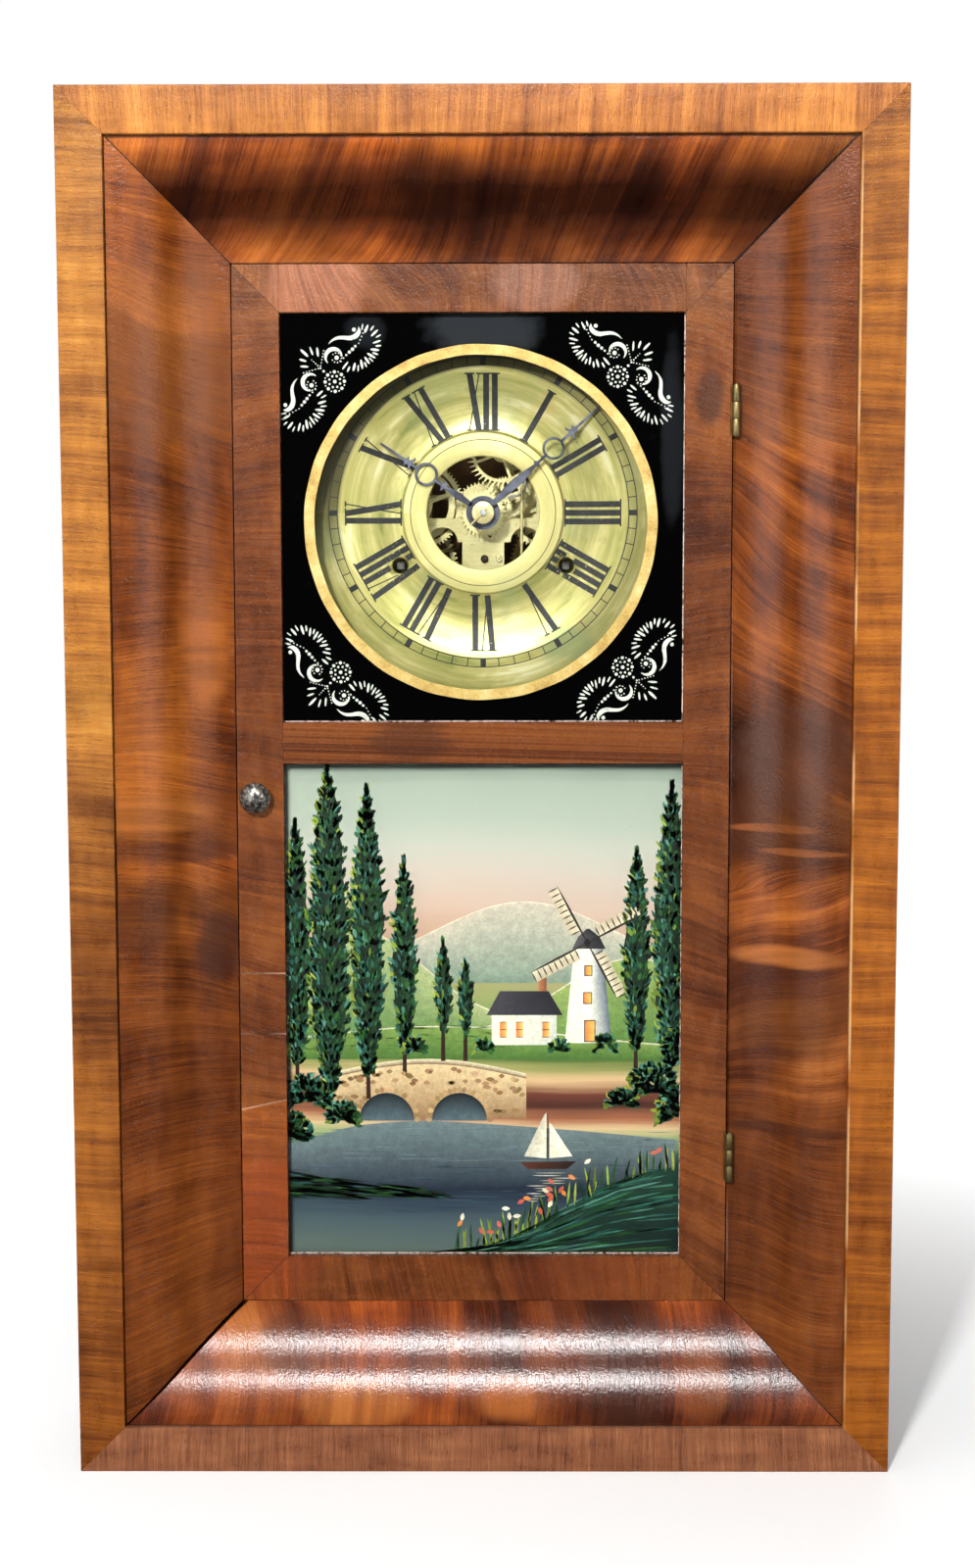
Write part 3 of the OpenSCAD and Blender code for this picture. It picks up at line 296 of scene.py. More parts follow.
stained = (62, 34, 18), (104, 60, 33), (135, 84, 48)
dress(pine("stained_pine", *stained), "case_side_left", "case_side_right", ease=0.6)
dress(pine("stained_pine_level", *stained, upright=False), "case_top", "case_bottom", ease=0.6)
bare_pine = pine("bare_pine", (118, 82, 50), (166, 126, 82), (193, 155, 108), gloss=0.7)
dress(bare_pine, "back_board", "inner_boards", "glazing_strips", ease=0.4)


# Cut nails through the back and the screws that hold the dial and the movement: iron, browned
# and dulled, with bright scratches where a driver slipped.
def dull_metal(name, dark, light, roughness, metallic, scale=220, depth=0.03):
    metal = Finish(name)
    cloud = metal.noise(scale, 4, 0.6)
    speck = metal.noise(scale * 9)
    tint = metal.ramp(cloud * 0.75 + speck * 0.25, (0.35, *dark), (0.65, *light))
    rough = cloud * 0.35 + (roughness - 0.15)
    return metal.done(tint, rough, speck * 0.6 + cloud * 0.4, depth, metallic=metallic)


old_iron = dull_metal("old_iron", (48, 36, 30), (96, 86, 78), 0.6, 0.85)
dress(old_iron, "nails_and_screws", ease=0.12)

# The flat facing round the front: four pine strips, mitred and glued on, each veneered with
# mahogany whose grain runs across the strip, under an old shellac varnish.
def patch(along, across, place, edge):
    """1 inside a rounded patch of a surface and 0 outside it, with a soft wandering edge.
    place is its middle and then its reach, both along and across, in millimetres."""
    x, z, wide, high = (v / 1000 for v in place)
    far = ((along - x) / wide) ** 2 + ((across - z) / high) ** 2
    return 1 - (far + (edge - 0.5) * 1.6).rise(0.35, 1.3)


def veneer(name, darker, seed, lines, flame, bias, extra, places=None, lean=0.0, bow=0.0, gloss=0.3,
           tints=(), across_tints=(), width=0.0554, length=0.66, shine=0.36, marks=(), leans=(), calm=()):
    """Mahogany. Its fibres run with the second of two places, and its figure changes with the first."""
    wood = Finish(name)
    along, across = places(wood) if places else wood.split(wood.node("UVMap", uv_map="lay"))[:2]
    bend = wood.grain(along * 6, across * 7, seed, 1)
    swirl = wood.grain(along * 22, across * 24, seed + 4)
    slope = lean
    if leans:
        run = [(place, 0.5 + way / 2) for place, way in leans]
        slope = wood.course(along / length + (bend - 0.5) * 0.1, run) * 2 - 1
    leaning = (bend - 0.5) * 1.1 * flame + slope + across * bow
    path = along + across * leaning + (swirl - 0.5) * 0.003 * flame
    cloud = wood.grain(along * 13, across * 15, seed + 6, 2, 0.55)
    broad = wood.grain(path * 21, across * 6, seed + 1)
    stripe = wood.grain(path * 95, across * 5, seed + 2)
    thread = wood.grain(path * 420, across * 14, seed + 8, 2, 0.6)
    fibre = wood.grain(path * 2100, across * 50, seed + 3)
    curl = wood.grain(path * 40, across * 130, seed + 5)
    figure = (cloud - 0.5) * 0.56 * flame + (broad - 0.5) * 0.34 * flame
    figure = figure + (stripe - 0.5) * 0.22 * lines + (thread - 0.5) * 0.05 * lines
    if calm:
        figure = figure * wood.course(along / length + (swirl - 0.5) * 0.06, calm)
    level = figure + (thread - 0.5) * 0.11 + (fibre - 0.5) * 0.2 + (curl - 0.5) * 0.14 + (0.5 + bias)
    tint = wood.ramp(level, (0.26, 46, 19, 6), (0.4, 96, 47, 17), (0.5, 138, 76, 30),
                     (0.62, 180, 108, 44), (0.76, 212, 146, 74))
    pores = wood.grain(path * 2800, across * 170, seed + 7, 1).rise(0.63, 0.72)
    tint = wood.mix(pores * 0.5, tint, (50, 24, 10))
    tint = wood.times(tint, darker)
    if tints:
        where = along / length + (swirl - 0.5) * 0.05 + (across - width / 2) * (bend - 0.5) * 3
        tint = wood.tinted(tint, where, tints)
    if across_tints:
        tint = wood.tinted(tint, across / width + (swirl - 0.5) * 0.25, across_tints)
    for *place, share, red, green, blue in marks:
        inside = patch(along, across, place, swirl) * share
        speckled = stripe.rise(0.4, 0.6) * 0.4 + thread * 0.5
        tint = wood.mix(inside, tint, wood.mix(speckled, (red, green, blue), (52, 24, 10)))
    if extra:
        tint = extra(wood, tint, along, across, swirl, thread)
    worn = wood.noise(130, 4, 0.65)
    dry = wood.noise(620, 3, 0.6)
    crackle = wood.noise(1500)
    rough = worn * 0.18 + curl * 0.1 + dry * 0.08 + (gloss - 0.18)
    bump = dry * 0.7 + crackle * 0.4 + worn * 0.3 + thread * 0.08 - pores * 0.22
    return wood.done(tint, rough, bump, 0.2, specular_ior_level=shine)


def lay_grain(shape, half, other):
    """A strip stands along Z at first. Its grain map runs U up the strip and V in from its outer edge."""
    lay = shape.loops.layers.uv.new("lay")
    for face in shape.faces:
        for corner in face.loops:
            corner[lay].uv = (corner.vert.co.z + other, half - corner.vert.co.x)


def joined(shape, points, closed=0):
    """Joins points by edges in their order, and where closed is 1 also the last to the first."""
    return [shape.edges.new(pair) for pair in zip(points, points[1:] + points[:closed])]


def drawn_out(shape, faces, way):
    """Draws faces out along a vector, and gives back the faces at the far end."""
    grown = bmesh.ops.extrude_face_region(shape, geom=faces)["geom"]
    far_points = [item for item in grown if isinstance(item, bmesh.types.BMVert)]
    bmesh.ops.translate(shape, verts=far_points, vec=way)
    return [item for item in grown if isinstance(item, bmesh.types.BMFace)]


def bevel(shape, edges, width, segments):
    bmesh.ops.bevel(
        shape, geom=edges, offset=width * mm, segments=segments, profile=0.5, affect="EDGES", material=-1)


half_w, half_h, joint = 197 * mm, 330.2 * mm, 0.05 * mm
lift = Matrix.Translation((0, 0, half_h))


def mitred(profile_maker, half, other, bevelled, slack=0.0):
    """A strip of frame along Z with its outer edge at X = half, cut at 45 degrees at both ends.
    other is the frame's half length along the strip, and slack opens the lower joint inwards."""
    shape = bmesh.new()
    profile_maker(shape, half)
    bmesh.ops.contextual_create(shape, geom=shape.edges[:])
    drawn_out(shape, shape.faces[:], (0, 0, 2 * other))
    moved(shape, Matrix.Translation((0, 0, -other)))
    bmesh.ops.recalc_face_normals(shape, faces=shape.faces)
    if bevelled:
        along = [e for e in shape.edges if abs(e.verts[0].co.z - e.verts[1].co.z) > other]
        bevel(shape, [e for e in along if e.calc_face_angle(0) > 0.9], bevelled, 3)
    for sign, gap in ((1, 0.0), (-1, slack)):
        everything = shape.verts[:] + shape.edges[:] + shape.faces[:]
        corner, outward = (half, 0, sign * (other - joint)), (-1, 0, sign * (1 - gap))
        cut = bmesh.ops.bisect_plane(
            shape, geom=everything, plane_co=corner, plane_no=outward, clear_outer=True)["geom_cut"]
        bmesh.ops.edgeloop_fill(shape, edges=[e for e in cut if isinstance(e, bmesh.types.BMEdge)])
    bmesh.ops.recalc_face_normals(shape, faces=shape.faces)
    return shape


band_w, band_t, front = 22 * mm, 12 * mm, -57 * mm


def facing_profile(shape, half):
    corners = [(half, front), (half - band_w, front), (half - band_w, front + band_t), (half, front + band_t)]
    joined(shape, [shape.verts.new((x, y, 0)) for x, y in corners], 1)


turn_down = Matrix.Rotation(math.pi / 2, 4, "Y")
around = (
    ("right", half_w, half_h, Matrix.Identity(4)),
    ("left", half_w, half_h, Matrix.Scale(-1, 4, (1, 0, 0))),
    ("top", half_h, half_w, Matrix.Scale(-1, 4, (0, 0, 1)) @ turn_down),
    ("bottom", half_h, half_w, turn_down),
)
# Each strip's third entry tints all of it. On the top and bottom strips its raised green and blue grey the
# wood as a painted sheen.
facing = {
    "right": (3.1, 1.5, (0.74, 0.69, 0.24, 1), 0.03, (
        (0, 95, 90, 70), (60, 100, 100, 100), (100, 105, 120, 180))),
    "left": (8.4, 1.3, (0.7, 0.84, 0.74, 1), 0.03, (
        (0, 78, 58, 28), (40, 88, 74, 45), (50, 80, 73, 60), (54, 120, 120, 115),
        (58, 80, 78, 70), (62, 115, 110, 100), (100, 110, 110, 110))),
    "top": (14.2, 1.3, (1.04, 1.2, 1.4, 1), 0.03, (
        (0, 90, 90, 90), (35, 90, 88, 85), (50, 110, 110, 110), (70, 115, 115, 115), (100, 110, 110, 110))),
    "bottom": (21.7, 0.5, (0.84, 1.06, 2.5, 1), -0.02, ()),
}


def worn_edge(wood, tint, along, across, swirl, thread):
    """The varnish is rubbed off the facing's inner arris."""
    rubbed = across.rise(20.9 * mm, 21.4 * mm) * swirl.rise(0.35, 0.6) * 0.6
    return wood.mix(rubbed, tint, (208, 164, 112))


for side, half, other, turn in around:
    seed, lines, darker, bias, tints = facing[side]
    strip = mitred(facing_profile, half, other, 0.5)
    lay_grain(strip, half, other)
    finish = veneer(
        "facing_veneer_" + side, darker, seed, lines=lines, flame=0.5 if lines > 1 else 0.25, shine=0.26,
        width=band_w, tints=tints, length=2 * other, bias=bias, extra=worn_edge if side == "right" else None)
    strip = piece("facing_" + side, moved(strip, turn, lift), finish)
    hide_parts("facing_strips")

# The ogee mouldings: pine planed to a round and a hollow, covered crosswise with flame-figured
# mahogany, mitred and glued behind the facing. One lower mitre has opened with age.
ogee_w, ogee_r = 55.4 * mm, 40.377 * mm
ogee_arc = math.asin(ogee_w / 2 / ogee_r)
ogee_front, ogee_in, ogee_back = -54 * mm, -32 * mm, -17.3 * mm


def ogee_profile(shape, half):
    edge, inner, outer = half - band_w, half - band_w - ogee_w, half - 12 * mm
    first = shape.verts.new((edge, ogee_front, 0))
    last = first
    round_and_hollow = ((edge, ogee_front + ogee_r, 0), -ogee_arc), ((inner, ogee_in - ogee_r, 0), ogee_arc)
    for centre, angle in round_and_hollow:
        swung = bmesh.ops.spin(shape, geom=[last], cent=centre, axis=(0, 0, 1), angle=angle, steps=22)
        last = [item for item in swung["geom_last"] if isinstance(item, bmesh.types.BMVert)][0]
    corners = [(inner, ogee_back), (outer, ogee_back), (outer, front + band_t), (edge, front + band_t)]
    joined(shape, [last] + [shape.verts.new((x, y, 0)) for x, y in corners] + [first])


def worked_out(made):
    """An object's mesh, once its modifiers or its curve are worked out."""
    bpy.context.view_layer.update()
    return bpy.data.meshes.new_from_object(made.evaluated_get(bpy.context.evaluated_depsgraph_get()))


def cut_away(made, shape):
    """Takes a second shape out of a piece, as a chisel or a drill does."""
    tool = piece(made.name + "_cut", shape, made.data.materials[0], None)
    step = made.modifiers.new("cut", "BOOLEAN")
    step.object = tool
    left = worked_out(made)
    made.modifiers.clear()
    made.data = left
    bpy.data.objects.remove(tool)


def block(x, y, z):
    """A plain block between two places on each axis, in millimetres."""
    shape = bmesh.new()
    bmesh.ops.create_cube(shape, size=1)
    size = [(b - a) * mm for a, b in (x, y, z)]
    middle = [(a + b) / 2 * mm for a, b in (x, y, z)]
    return moved(shape, Matrix.Diagonal((*size, 1)), Matrix.Translation(middle))


# How each strip is figured. Tints and their places are in percent. A mark is a place as patch reads
# it, its strength and its colour. joints are the widths of the dirt and painted shadow in both mitres and at
# the edge.
ogee = {
    "left": dict(
        seed=31.3, joints=(0.4, 0.4, 0.5), darker=(0.66, 0.6, 0.46, 1), bow=1.0, bias=-0.02, shine=0.31,
        across_tints=((0, 100, 100, 100), (60, 100, 100, 100), (90, 78, 72, 62)),
        leans=((0.0, -0.7), (0.14, -0.45), (0.24, -0.05), (0.5, 0.1), (0.66, -0.1), (0.85, 0.25), (1.0, 0.1)),
        calm=((0.0, 0.6), (0.1, 0.35), (0.34, 0.4), (0.42, 0.9), (0.56, 0.8), (0.64, 0.45), (0.84, 0.6),
              (1.0, 0.8)),
        marks=((255, 47, 20, 12, 0.7, 52, 26, 16), (268, 12, 14, 18, 0.6, 70, 34, 16),
               (303, 30, 6, 40, 0.6, 66, 30, 14), (322, 20, 10, 30, 0.5, 196, 116, 48),
               (540, 30, 50, 50, 0.45, 126, 76, 42), (405, 42, 30, 12, 0.5, 176, 100, 38)),
        tints=((0, 75, 70, 70), (30, 75, 70, 75), (40, 100, 100, 100), (43, 45, 40, 40), (45.5, 120, 110, 95),
               (47.5, 50, 45, 45), (52, 100, 95, 85), (56, 90, 85, 80), (65, 95, 90, 90), (83.5, 85, 82, 82),
               (84, 125, 120, 110), (100, 130, 125, 110))),
    "right": dict(
        seed=44.9, joints=(0.4, 0.5, 0.3), darker=(0.53, 0.52, 0.56, 1), bow=-1.5, bias=-0.02, shine=0.31,
        across_tints=((0, 110, 110, 110), (30, 100, 100, 100), (70, 95, 92, 90), (95, 80, 76, 70)),
        leans=((0.0, 0.3), (0.2, 0.05), (0.3, 0.4), (0.42, 0.5), (0.51, -0.5), (0.7, -0.4), (0.78, -0.1),
               (1.0, 0.15)),
        calm=((0.0, 0.35), (0.22, 0.35), (0.3, 1.0), (0.72, 1.15), (0.77, 0.55), (1.0, 0.5)),
        marks=((316, 33, 20, 40, 0.55, 66, 34, 20), (230, 26, 32, 40, 0.65, 60, 28, 16),
               (252, 30, 6, 30, 0.6, 190, 112, 50), (167, 28, 3, 35, 0.6, 56, 26, 16),
               (350, 26, 26, 30, 0.6, 80, 48, 34), (314, 36, 2.2, 22, 0.4, 186, 106, 50),
               (303, 22, 1.8, 20, 0.35, 180, 102, 48)),
        tints=((0, 95, 88, 88), (25, 85, 78, 78), (38, 130, 120, 105), (42, 135, 120, 100),
               (45.5, 50, 45, 40), (50, 65, 62, 62), (56, 75, 72, 75), (60, 115, 100, 80),
               (74.5, 125, 110, 85), (75, 95, 88, 88), (100, 100, 90, 85))),
    "top": dict(
        seed=58.2, joints=(0.5, 1.5, 1.7), darker=(0.95, 0.88, 0.8, 1), lean=0.3, bow=4.0, bias=-0.03,
        tints=((0, 80, 76, 70), (13, 85, 80, 75), (20, 115, 105, 95), (30, 85, 80, 72), (38, 135, 120, 90),
               (43, 60, 55, 50), (64, 75, 70, 65), (73, 110, 100, 90), (81, 70, 66, 60), (90, 42, 42, 42),
               (100, 36, 36, 36)),
        # Painted light and shade: across the top strip, its outer edge is lightened and its middle, which
        # faces down, is darkened.
        across_tints=((0, 125, 120, 110), (8, 115, 112, 100), (17, 72, 64, 50), (30, 32, 25, 18),
                      (43, 12, 8.5, 6), (63, 11, 8, 6), (77, 32, 25, 18),
                      (90, 60, 56, 56), (100, 72, 70, 76))),
    "bottom": dict(
        seed=73.6, joints=(0.5, 0.4, 0.4), darker=(0.78, 0.58, 0.38, 1), lean=-0.1, bow=5.0, bias=-0.03,
        shine=0.75,
        marks=((265, 30, 22, 50, 0.7, 50, 22, 12), (135, 10, 30, 12, 0.6, 206, 126, 54),
               (105, 36, 20, 16, 0.5, 64, 28, 14), (210, 12, 20, 12, 0.6, 196, 110, 44),
               (170, 30, 12, 20, 0.5, 72, 32, 16), (305, 20, 14, 20, 0.5, 186, 104, 46)),
        tints=((0, 100, 90, 80), (25, 60, 55, 60), (35, 110, 95, 85), (50, 70, 65, 65), (60, 50, 45, 45),
               (70, 100, 85, 72), (100, 80, 75, 70))),
}


def joint_dirt_and_shadow(length, first, last, edge):
    """Old dirt and painted shadow in a strip's two mitres and along its outer edge, each this wide in
    millimetres.
    """
    def dirt_and_shadow(wood, tint, along, across, swirl, thread):
        dark = 0
        first_mitre, last_mitre = along - across - band_w, length - band_w - across - along
        for far, wide in ((first_mitre, first), (last_mitre, last), (across, edge)):
            dark = 1 - (far + (swirl - 0.5) * 0.001).rise(wide * 0.5 * mm, wide * 1.2 * mm) + dark
        return wood.mix(dark.math("MINIMUM", 1) * 0.85, tint, (20, 10, 6))
    return dirt_and_shadow


for side, half, other, turn in around:
    look = ogee[side]
    strip = mitred(ogee_profile, half, other, 0.4, 0.036 if side == "bottom" else 0.0)
    lay_grain(strip, half - band_w, other)
    dirt_and_shadow = joint_dirt_and_shadow(2 * other, *look.pop("joints"))
    finish = veneer(
        "ogee_veneer_" + side, lines=1.6, flame=1.1, gloss=0.21, length=2 * other, extra=dirt_and_shadow, **look)
    strip = piece("ogee_" + side + "_moulding", moved(strip, turn, lift), finish, sharp=10)
    if side == "right":
        for hinge_z in (150.9, 513.5):
            cut_away(strip, block((118, 120.55), (-60, -19.9), (hinge_z - 12.1, hinge_z + 12.1)))
    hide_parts("ogee_" + side)

# The door: pine stiles and rails, halved and pinned, veneered crosswise in pieced lengths of
# mahogany. Its mitre lines are only in the veneer, and its inner edges carry a soft worn arris.
stile_in = 0.0967


def door_edges(wood):
    """How far a place lies in from the door's upright edge, and from its top or bottom edge."""
    return 0.1191 - abs(wood.x), 0.2523 - abs(wood.z - 0.3302)


def door_places(wood):
    """Up the stiles, along the rails: the mitre is where the two ways from the edge are equal."""
    from_side, from_end = door_edges(wood)
    middle_rail = (abs(wood.z - 0.355) < 0.0103) * (abs(wood.x) < stile_in)
    upright = (from_side < from_end) * (1 - middle_rail)
    flat = 1 - upright
    along_rail = wood.x + wood.z.rise(0.3, 0.4) * 2.3 + middle_rail * 1.1
    along = upright * (wood.z + wood.x.math("SIGN") * 1.7) + flat * along_rail
    across = upright * wood.x + flat * wood.z
    return along, across


def door_marks(wood, tint, along, across, swirl, thread):
    """The pieced lengths that differ, the seams between them, the mitre lines, a knot, and painted light that
    grows towards the top.
    """
    for *place, share, red, green, blue in (
        (-78, 571, 22, 20, 0.7, 186, 112, 72),
        (25, 573, 20, 14, 0.5, 176, 118, 84),
        (-108, 115, 30, 40, 0.55, 158, 70, 26),
        (108, 519, 7, 14, 0.75, 58, 30, 16),
        (-35, 356, 20, 12, 0.6, 66, 34, 18),
        (50, 88, 50, 14, 0.45, 142, 66, 30),
    ):
        inside = patch(wood.x, wood.z, place, swirl) * share
        tint = wood.mix(inside, tint, wood.mix(thread, (60, 30, 14), (red, green, blue)))
    # Painted light: the door darkens low down and lightens towards the top rail, which is greyed blue as a
    # painted sheen.
    painted_light_up = (0, 82, 76, 70), (56, 84, 80, 78), (90, 105, 105, 105), (98, 112, 130, 175)
    tint = wood.tinted(tint, (wood.z - 0.078) / 0.505, painted_light_up)
    left_stile = wood.x < -stile_in
    seam_z = 0.2005
    slope = wood.z - wood.x * 0.22
    below = left_stile * (1 - (slope - seam_z).rise(0, 0.0002)) * 0.7
    tint = wood.mix(below, tint, wood.times(tint, (1.28, 1.12, 0.8, 1)))
    seams = 0
    for place in (wood.z - 0.2422, wood.z - 0.2122, slope - seam_z):
        seams = (1 - abs(place).rise(0.0002, 0.0006)) * left_stile + seams
    from_side, from_end = door_edges(wood)
    mitre = (1 - abs(from_side - from_end).rise(0.0001, 0.0004)) * (from_side < 0.0226)
    tint = wood.mix(seams * 0.7, tint, wood.mix(swirl.rise(0.4, 0.6), (40, 20, 10), (178, 140, 112)))
    return wood.mix(mitre * 0.8, tint, (34, 17, 8))


door_veneer = veneer(
    "door_veneer", (0.56, 0.52, 0.5, 1), 91.4, places=door_places, lines=0.9, flame=0.55, lean=0.15,
    gloss=0.27, bias=-0.01, extra=door_marks)
for name in ("stile_left", "stile_right", "top_rail", "middle_rail", "bottom_rail"):
    dress(door_veneer, "door_" + name, ease=0.5)

# The upper tablet: old window glass, painted black on its back round a clear circle, with a ring
# of gold leaf and corners stencilled in silver bronze powder. Putty and strips hold it.
def glazed(name, z, node):
    """A pane of old glass. Light is turned back only at its front face, as the back is painted."""
    shape = block((-glass_w, glass_w), (pane_front, pane_back), z)
    bevel(shape, shape.edges[:], 0.3, 2)
    pane = piece(name, shape, window_glass, "door")
    pane.data.materials.append(glass_inside)
    for face in pane.data.polygons:
        face.material_index = 0 if face.normal.y < -0.2 else 1
    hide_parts(node)


glass = Finish("window_glass")
normal = glass.node("Bump", {"Distance": 0.1 * mm, "Height": glass.noise(22, 1)})
gloss = glass.node("BsdfGlossy", {"Color": white, "Roughness": 0.04, "Normal": normal})
through = glass.node("BsdfTransparent", {"Color": (0.97, 0.985, 0.975, 1)})
share = glass.node("Fresnel", {"IOR": 1.4, "Normal": normal})
dust = glass.noise(140, 6, 0.75).rise(0.62, 0.8) * 0.012
film = glass.node("BsdfDiffuse", {"Color": (214, 208, 196)})
pane_mix = glass.node("MixShader", {0: share, 1: through, 2: gloss})
glass.node("OutputMaterial", {0: glass.node("MixShader", {0: dust, 1: pane_mix, 2: film})})
window_glass = glass.made
inside = Finish("glass_inside")
inside.node("OutputMaterial", {0: inside.node("BsdfTransparent", {"Color": (0.98, 0.99, 0.985, 1)})})
glass_inside = inside.made
glass_w, pane_front, pane_back = 101.3, -28, -26.12
glazed("upper_pane", (360.4, 564.7), "upper_glass")

paint = Finish("black_ground")
thin = paint.noise(55, 5, 0.7)
flaw = paint.noise(700, 3, 0.7).rise(0.74, 0.8)
# Painted reflection: three soft grey patches on the black ground stand in for the room mirrored in the glass.
painted_sheen = 0
for *place, share in ((0, 552, 29, 13, 1.0), (-56, 553, 10, 10, 0.4), (91, 505, 6, 45, 0.4)):
    painted_sheen = patch(paint.x, paint.z, place, thin) * share + painted_sheen
black = paint.mix(flaw * 0.08, paint.mix(painted_sheen, (1, 1, 1), (44, 46, 50)), (120, 112, 98))
black_ground = paint.done(black, 0.6 - thin * 0.1, thin, 0.02, specular_ior_level=0.0)
clock_x, clock_z = -1.0, 460.5
open_w, upper_z, lower_z = 96.9, (364.8, 560.3), (100.1, 345.2)
sheet_y, paint_back, clear_r = -26.06, -26.0, 80.4


def rectangle(shape, x, z, y):
    """The four edges of a rectangle which stands at this depth, in millimetres."""
    corners = (x[0], z[0]), (x[1], z[0]), (x[1], z[1]), (x[0], z[1])
    return joined(shape, [shape.verts.new((cx * mm, y * mm, cz * mm)) for cx, cz in corners], 1)


ground = bmesh.new()
clear = Matrix.Translation((clock_x * mm, sheet_y * mm, clock_z * mm)) @ Matrix.Rotation(math.pi / 2, 4, "X")
bmesh.ops.create_circle(ground, segments=128, radius=clear_r * mm, matrix=clear)
rectangle(ground, (-open_w, open_w), upper_z, sheet_y)
bmesh.ops.triangle_fill(ground, edges=ground.edges[:], use_beauty=True, use_dissolve=False)
drawn_out(ground, ground.faces[:], (0, (paint_back - sheet_y) * mm, 0))
ground = piece("upper_ground", ground, black_ground, "door")


def turned(profile, steps, at=(0, 0)):
    """A shape spun round a line along Y at [x, z]. The profile's points are [radius, y], in millimetres."""
    shape = bmesh.new()
    points = [shape.verts.new((r * mm, y * mm, 0)) for r, y in profile]
    whole = dict(cent=(0, 0, 0), axis=(0, 1, 0), angle=math.tau, steps=steps, use_merge=True)
    bmesh.ops.spin(shape, geom=points + joined(shape, points), **whole)
    bmesh.ops.remove_doubles(shape, verts=shape.verts, dist=0.0005 * mm)
    return moved(shape, Matrix.Translation((at[0] * mm, 0, at[1] * mm)))


leaf = Finish("gold_leaf")
lap = leaf.noise(90, 5, 0.65)
crumb = leaf.noise(1100, 3, 0.6)
gold = leaf.ramp(lap * 0.7 + crumb * 0.3, (0.3, 168, 128, 64), (0.48, 214, 180, 106), (0.68, 236, 216, 156))
gold_leaf = leaf.done(gold, 0.4 + crumb * 0.2, lap + crumb, 0.05, metallic=0.45)
leaf_in, leaf_out, leaf_front, leaf_back = 80.2, 85.2, sheet_y - 0.03, sheet_y - 0.005
leaf_side = [(leaf_in, leaf_front), (leaf_out, leaf_front), (leaf_out, leaf_back), (leaf_in, leaf_back)]
ring_band = turned(leaf_side + leaf_side[:1], 160, (clock_x, clock_z))
for vert in ring_band.verts:
    out = complex(vert.co.x - clock_x * mm, vert.co.z - clock_z * mm)
    turn = cmath.phase(out)
    wander = out / abs(out) * (0.12 * math.sin(5 * turn) + 0.1 * math.sin(23 * turn + 1)) * mm
    vert.co.x += wander.real
    vert.co.z += wander.imag
gold_ring = piece("gold_ring", ring_band, gold_leaf, "door")

silver = Finish("silver_powder")
grain = silver.noise(1500, 3, 0.7)
bright = grain * 0.5 + silver.noise(320, 4, 0.7) * 0.5
powder = silver.ramp(bright, (0.34, 150, 150, 142), (0.46, 212, 212, 202), (0.62, 236, 236, 228))
silver_powder = silver.done(powder, 0.55, grain, 0.02, metallic=0.15)
stencil = bmesh.new()


def ray(angle, far=1):
    """A line this long at an angle in degrees, as a complex number."""
    return cmath.rect(far, math.radians(angle))


def flat(outline):
    """One opening of the stencil: a flat shape, its outline given by complex numbers in millimetres."""
    depth = (sheet_y - 0.03) * mm
    stencil.faces.new([stencil.verts.new((spot.real * mm, depth, spot.imag * mm)) for spot in outline])


def leaf_shape(middle, long, wide, lean=0):
    """A petal, or a dot where long and wide are alike, which points along the angle lean."""
    turns = [math.tau * i / 10 for i in range(10)]
    oval = [complex(long / 2 * math.cos(turn), wide / 2 * math.sin(turn)) for turn in turns]
    flat([middle + cmath.rect(1, lean) * spot for spot in oval])


def stroke(line, widths, place, parts=5):
    """A scroll of changing width along a line, each of its points joined to the next by a soft curve."""
    line = [line[0] * 2 - line[1]] + line + [line[-1] * 2 - line[-2]]
    spots, breadths = [], []
    for i in range(1, len(line) - 2):
        p0, p1, p2, p3 = line[i - 1:i + 3]
        for j in range(parts + (i == len(line) - 3)):
            t = j / parts
            bend = (2 * p0 - 5 * p1 + 4 * p2 - p3) * t ** 2 + (3 * p1 - p0 - 3 * p2 + p3) * t ** 3
            spots.append(0.5 * (2 * p1 + (p2 - p0) * t + bend))
            breadths.append(widths[i - 1] + (widths[min(i, len(widths) - 1)] - widths[i - 1]) * t)
    sides = []
    for i, (spot, breadth) in enumerate(zip(spots, breadths)):
        ahead = spots[min(i + 1, len(spots) - 1)] - spots[max(i - 1, 0)]
        aside = 1j * ahead / abs(ahead) * breadth / 2
        sides.append((place(spot + aside), place(spot - aside)))
    for (a, b), (c, d) in zip(sides, sides[1:]):
        flat((a, b, d, c))


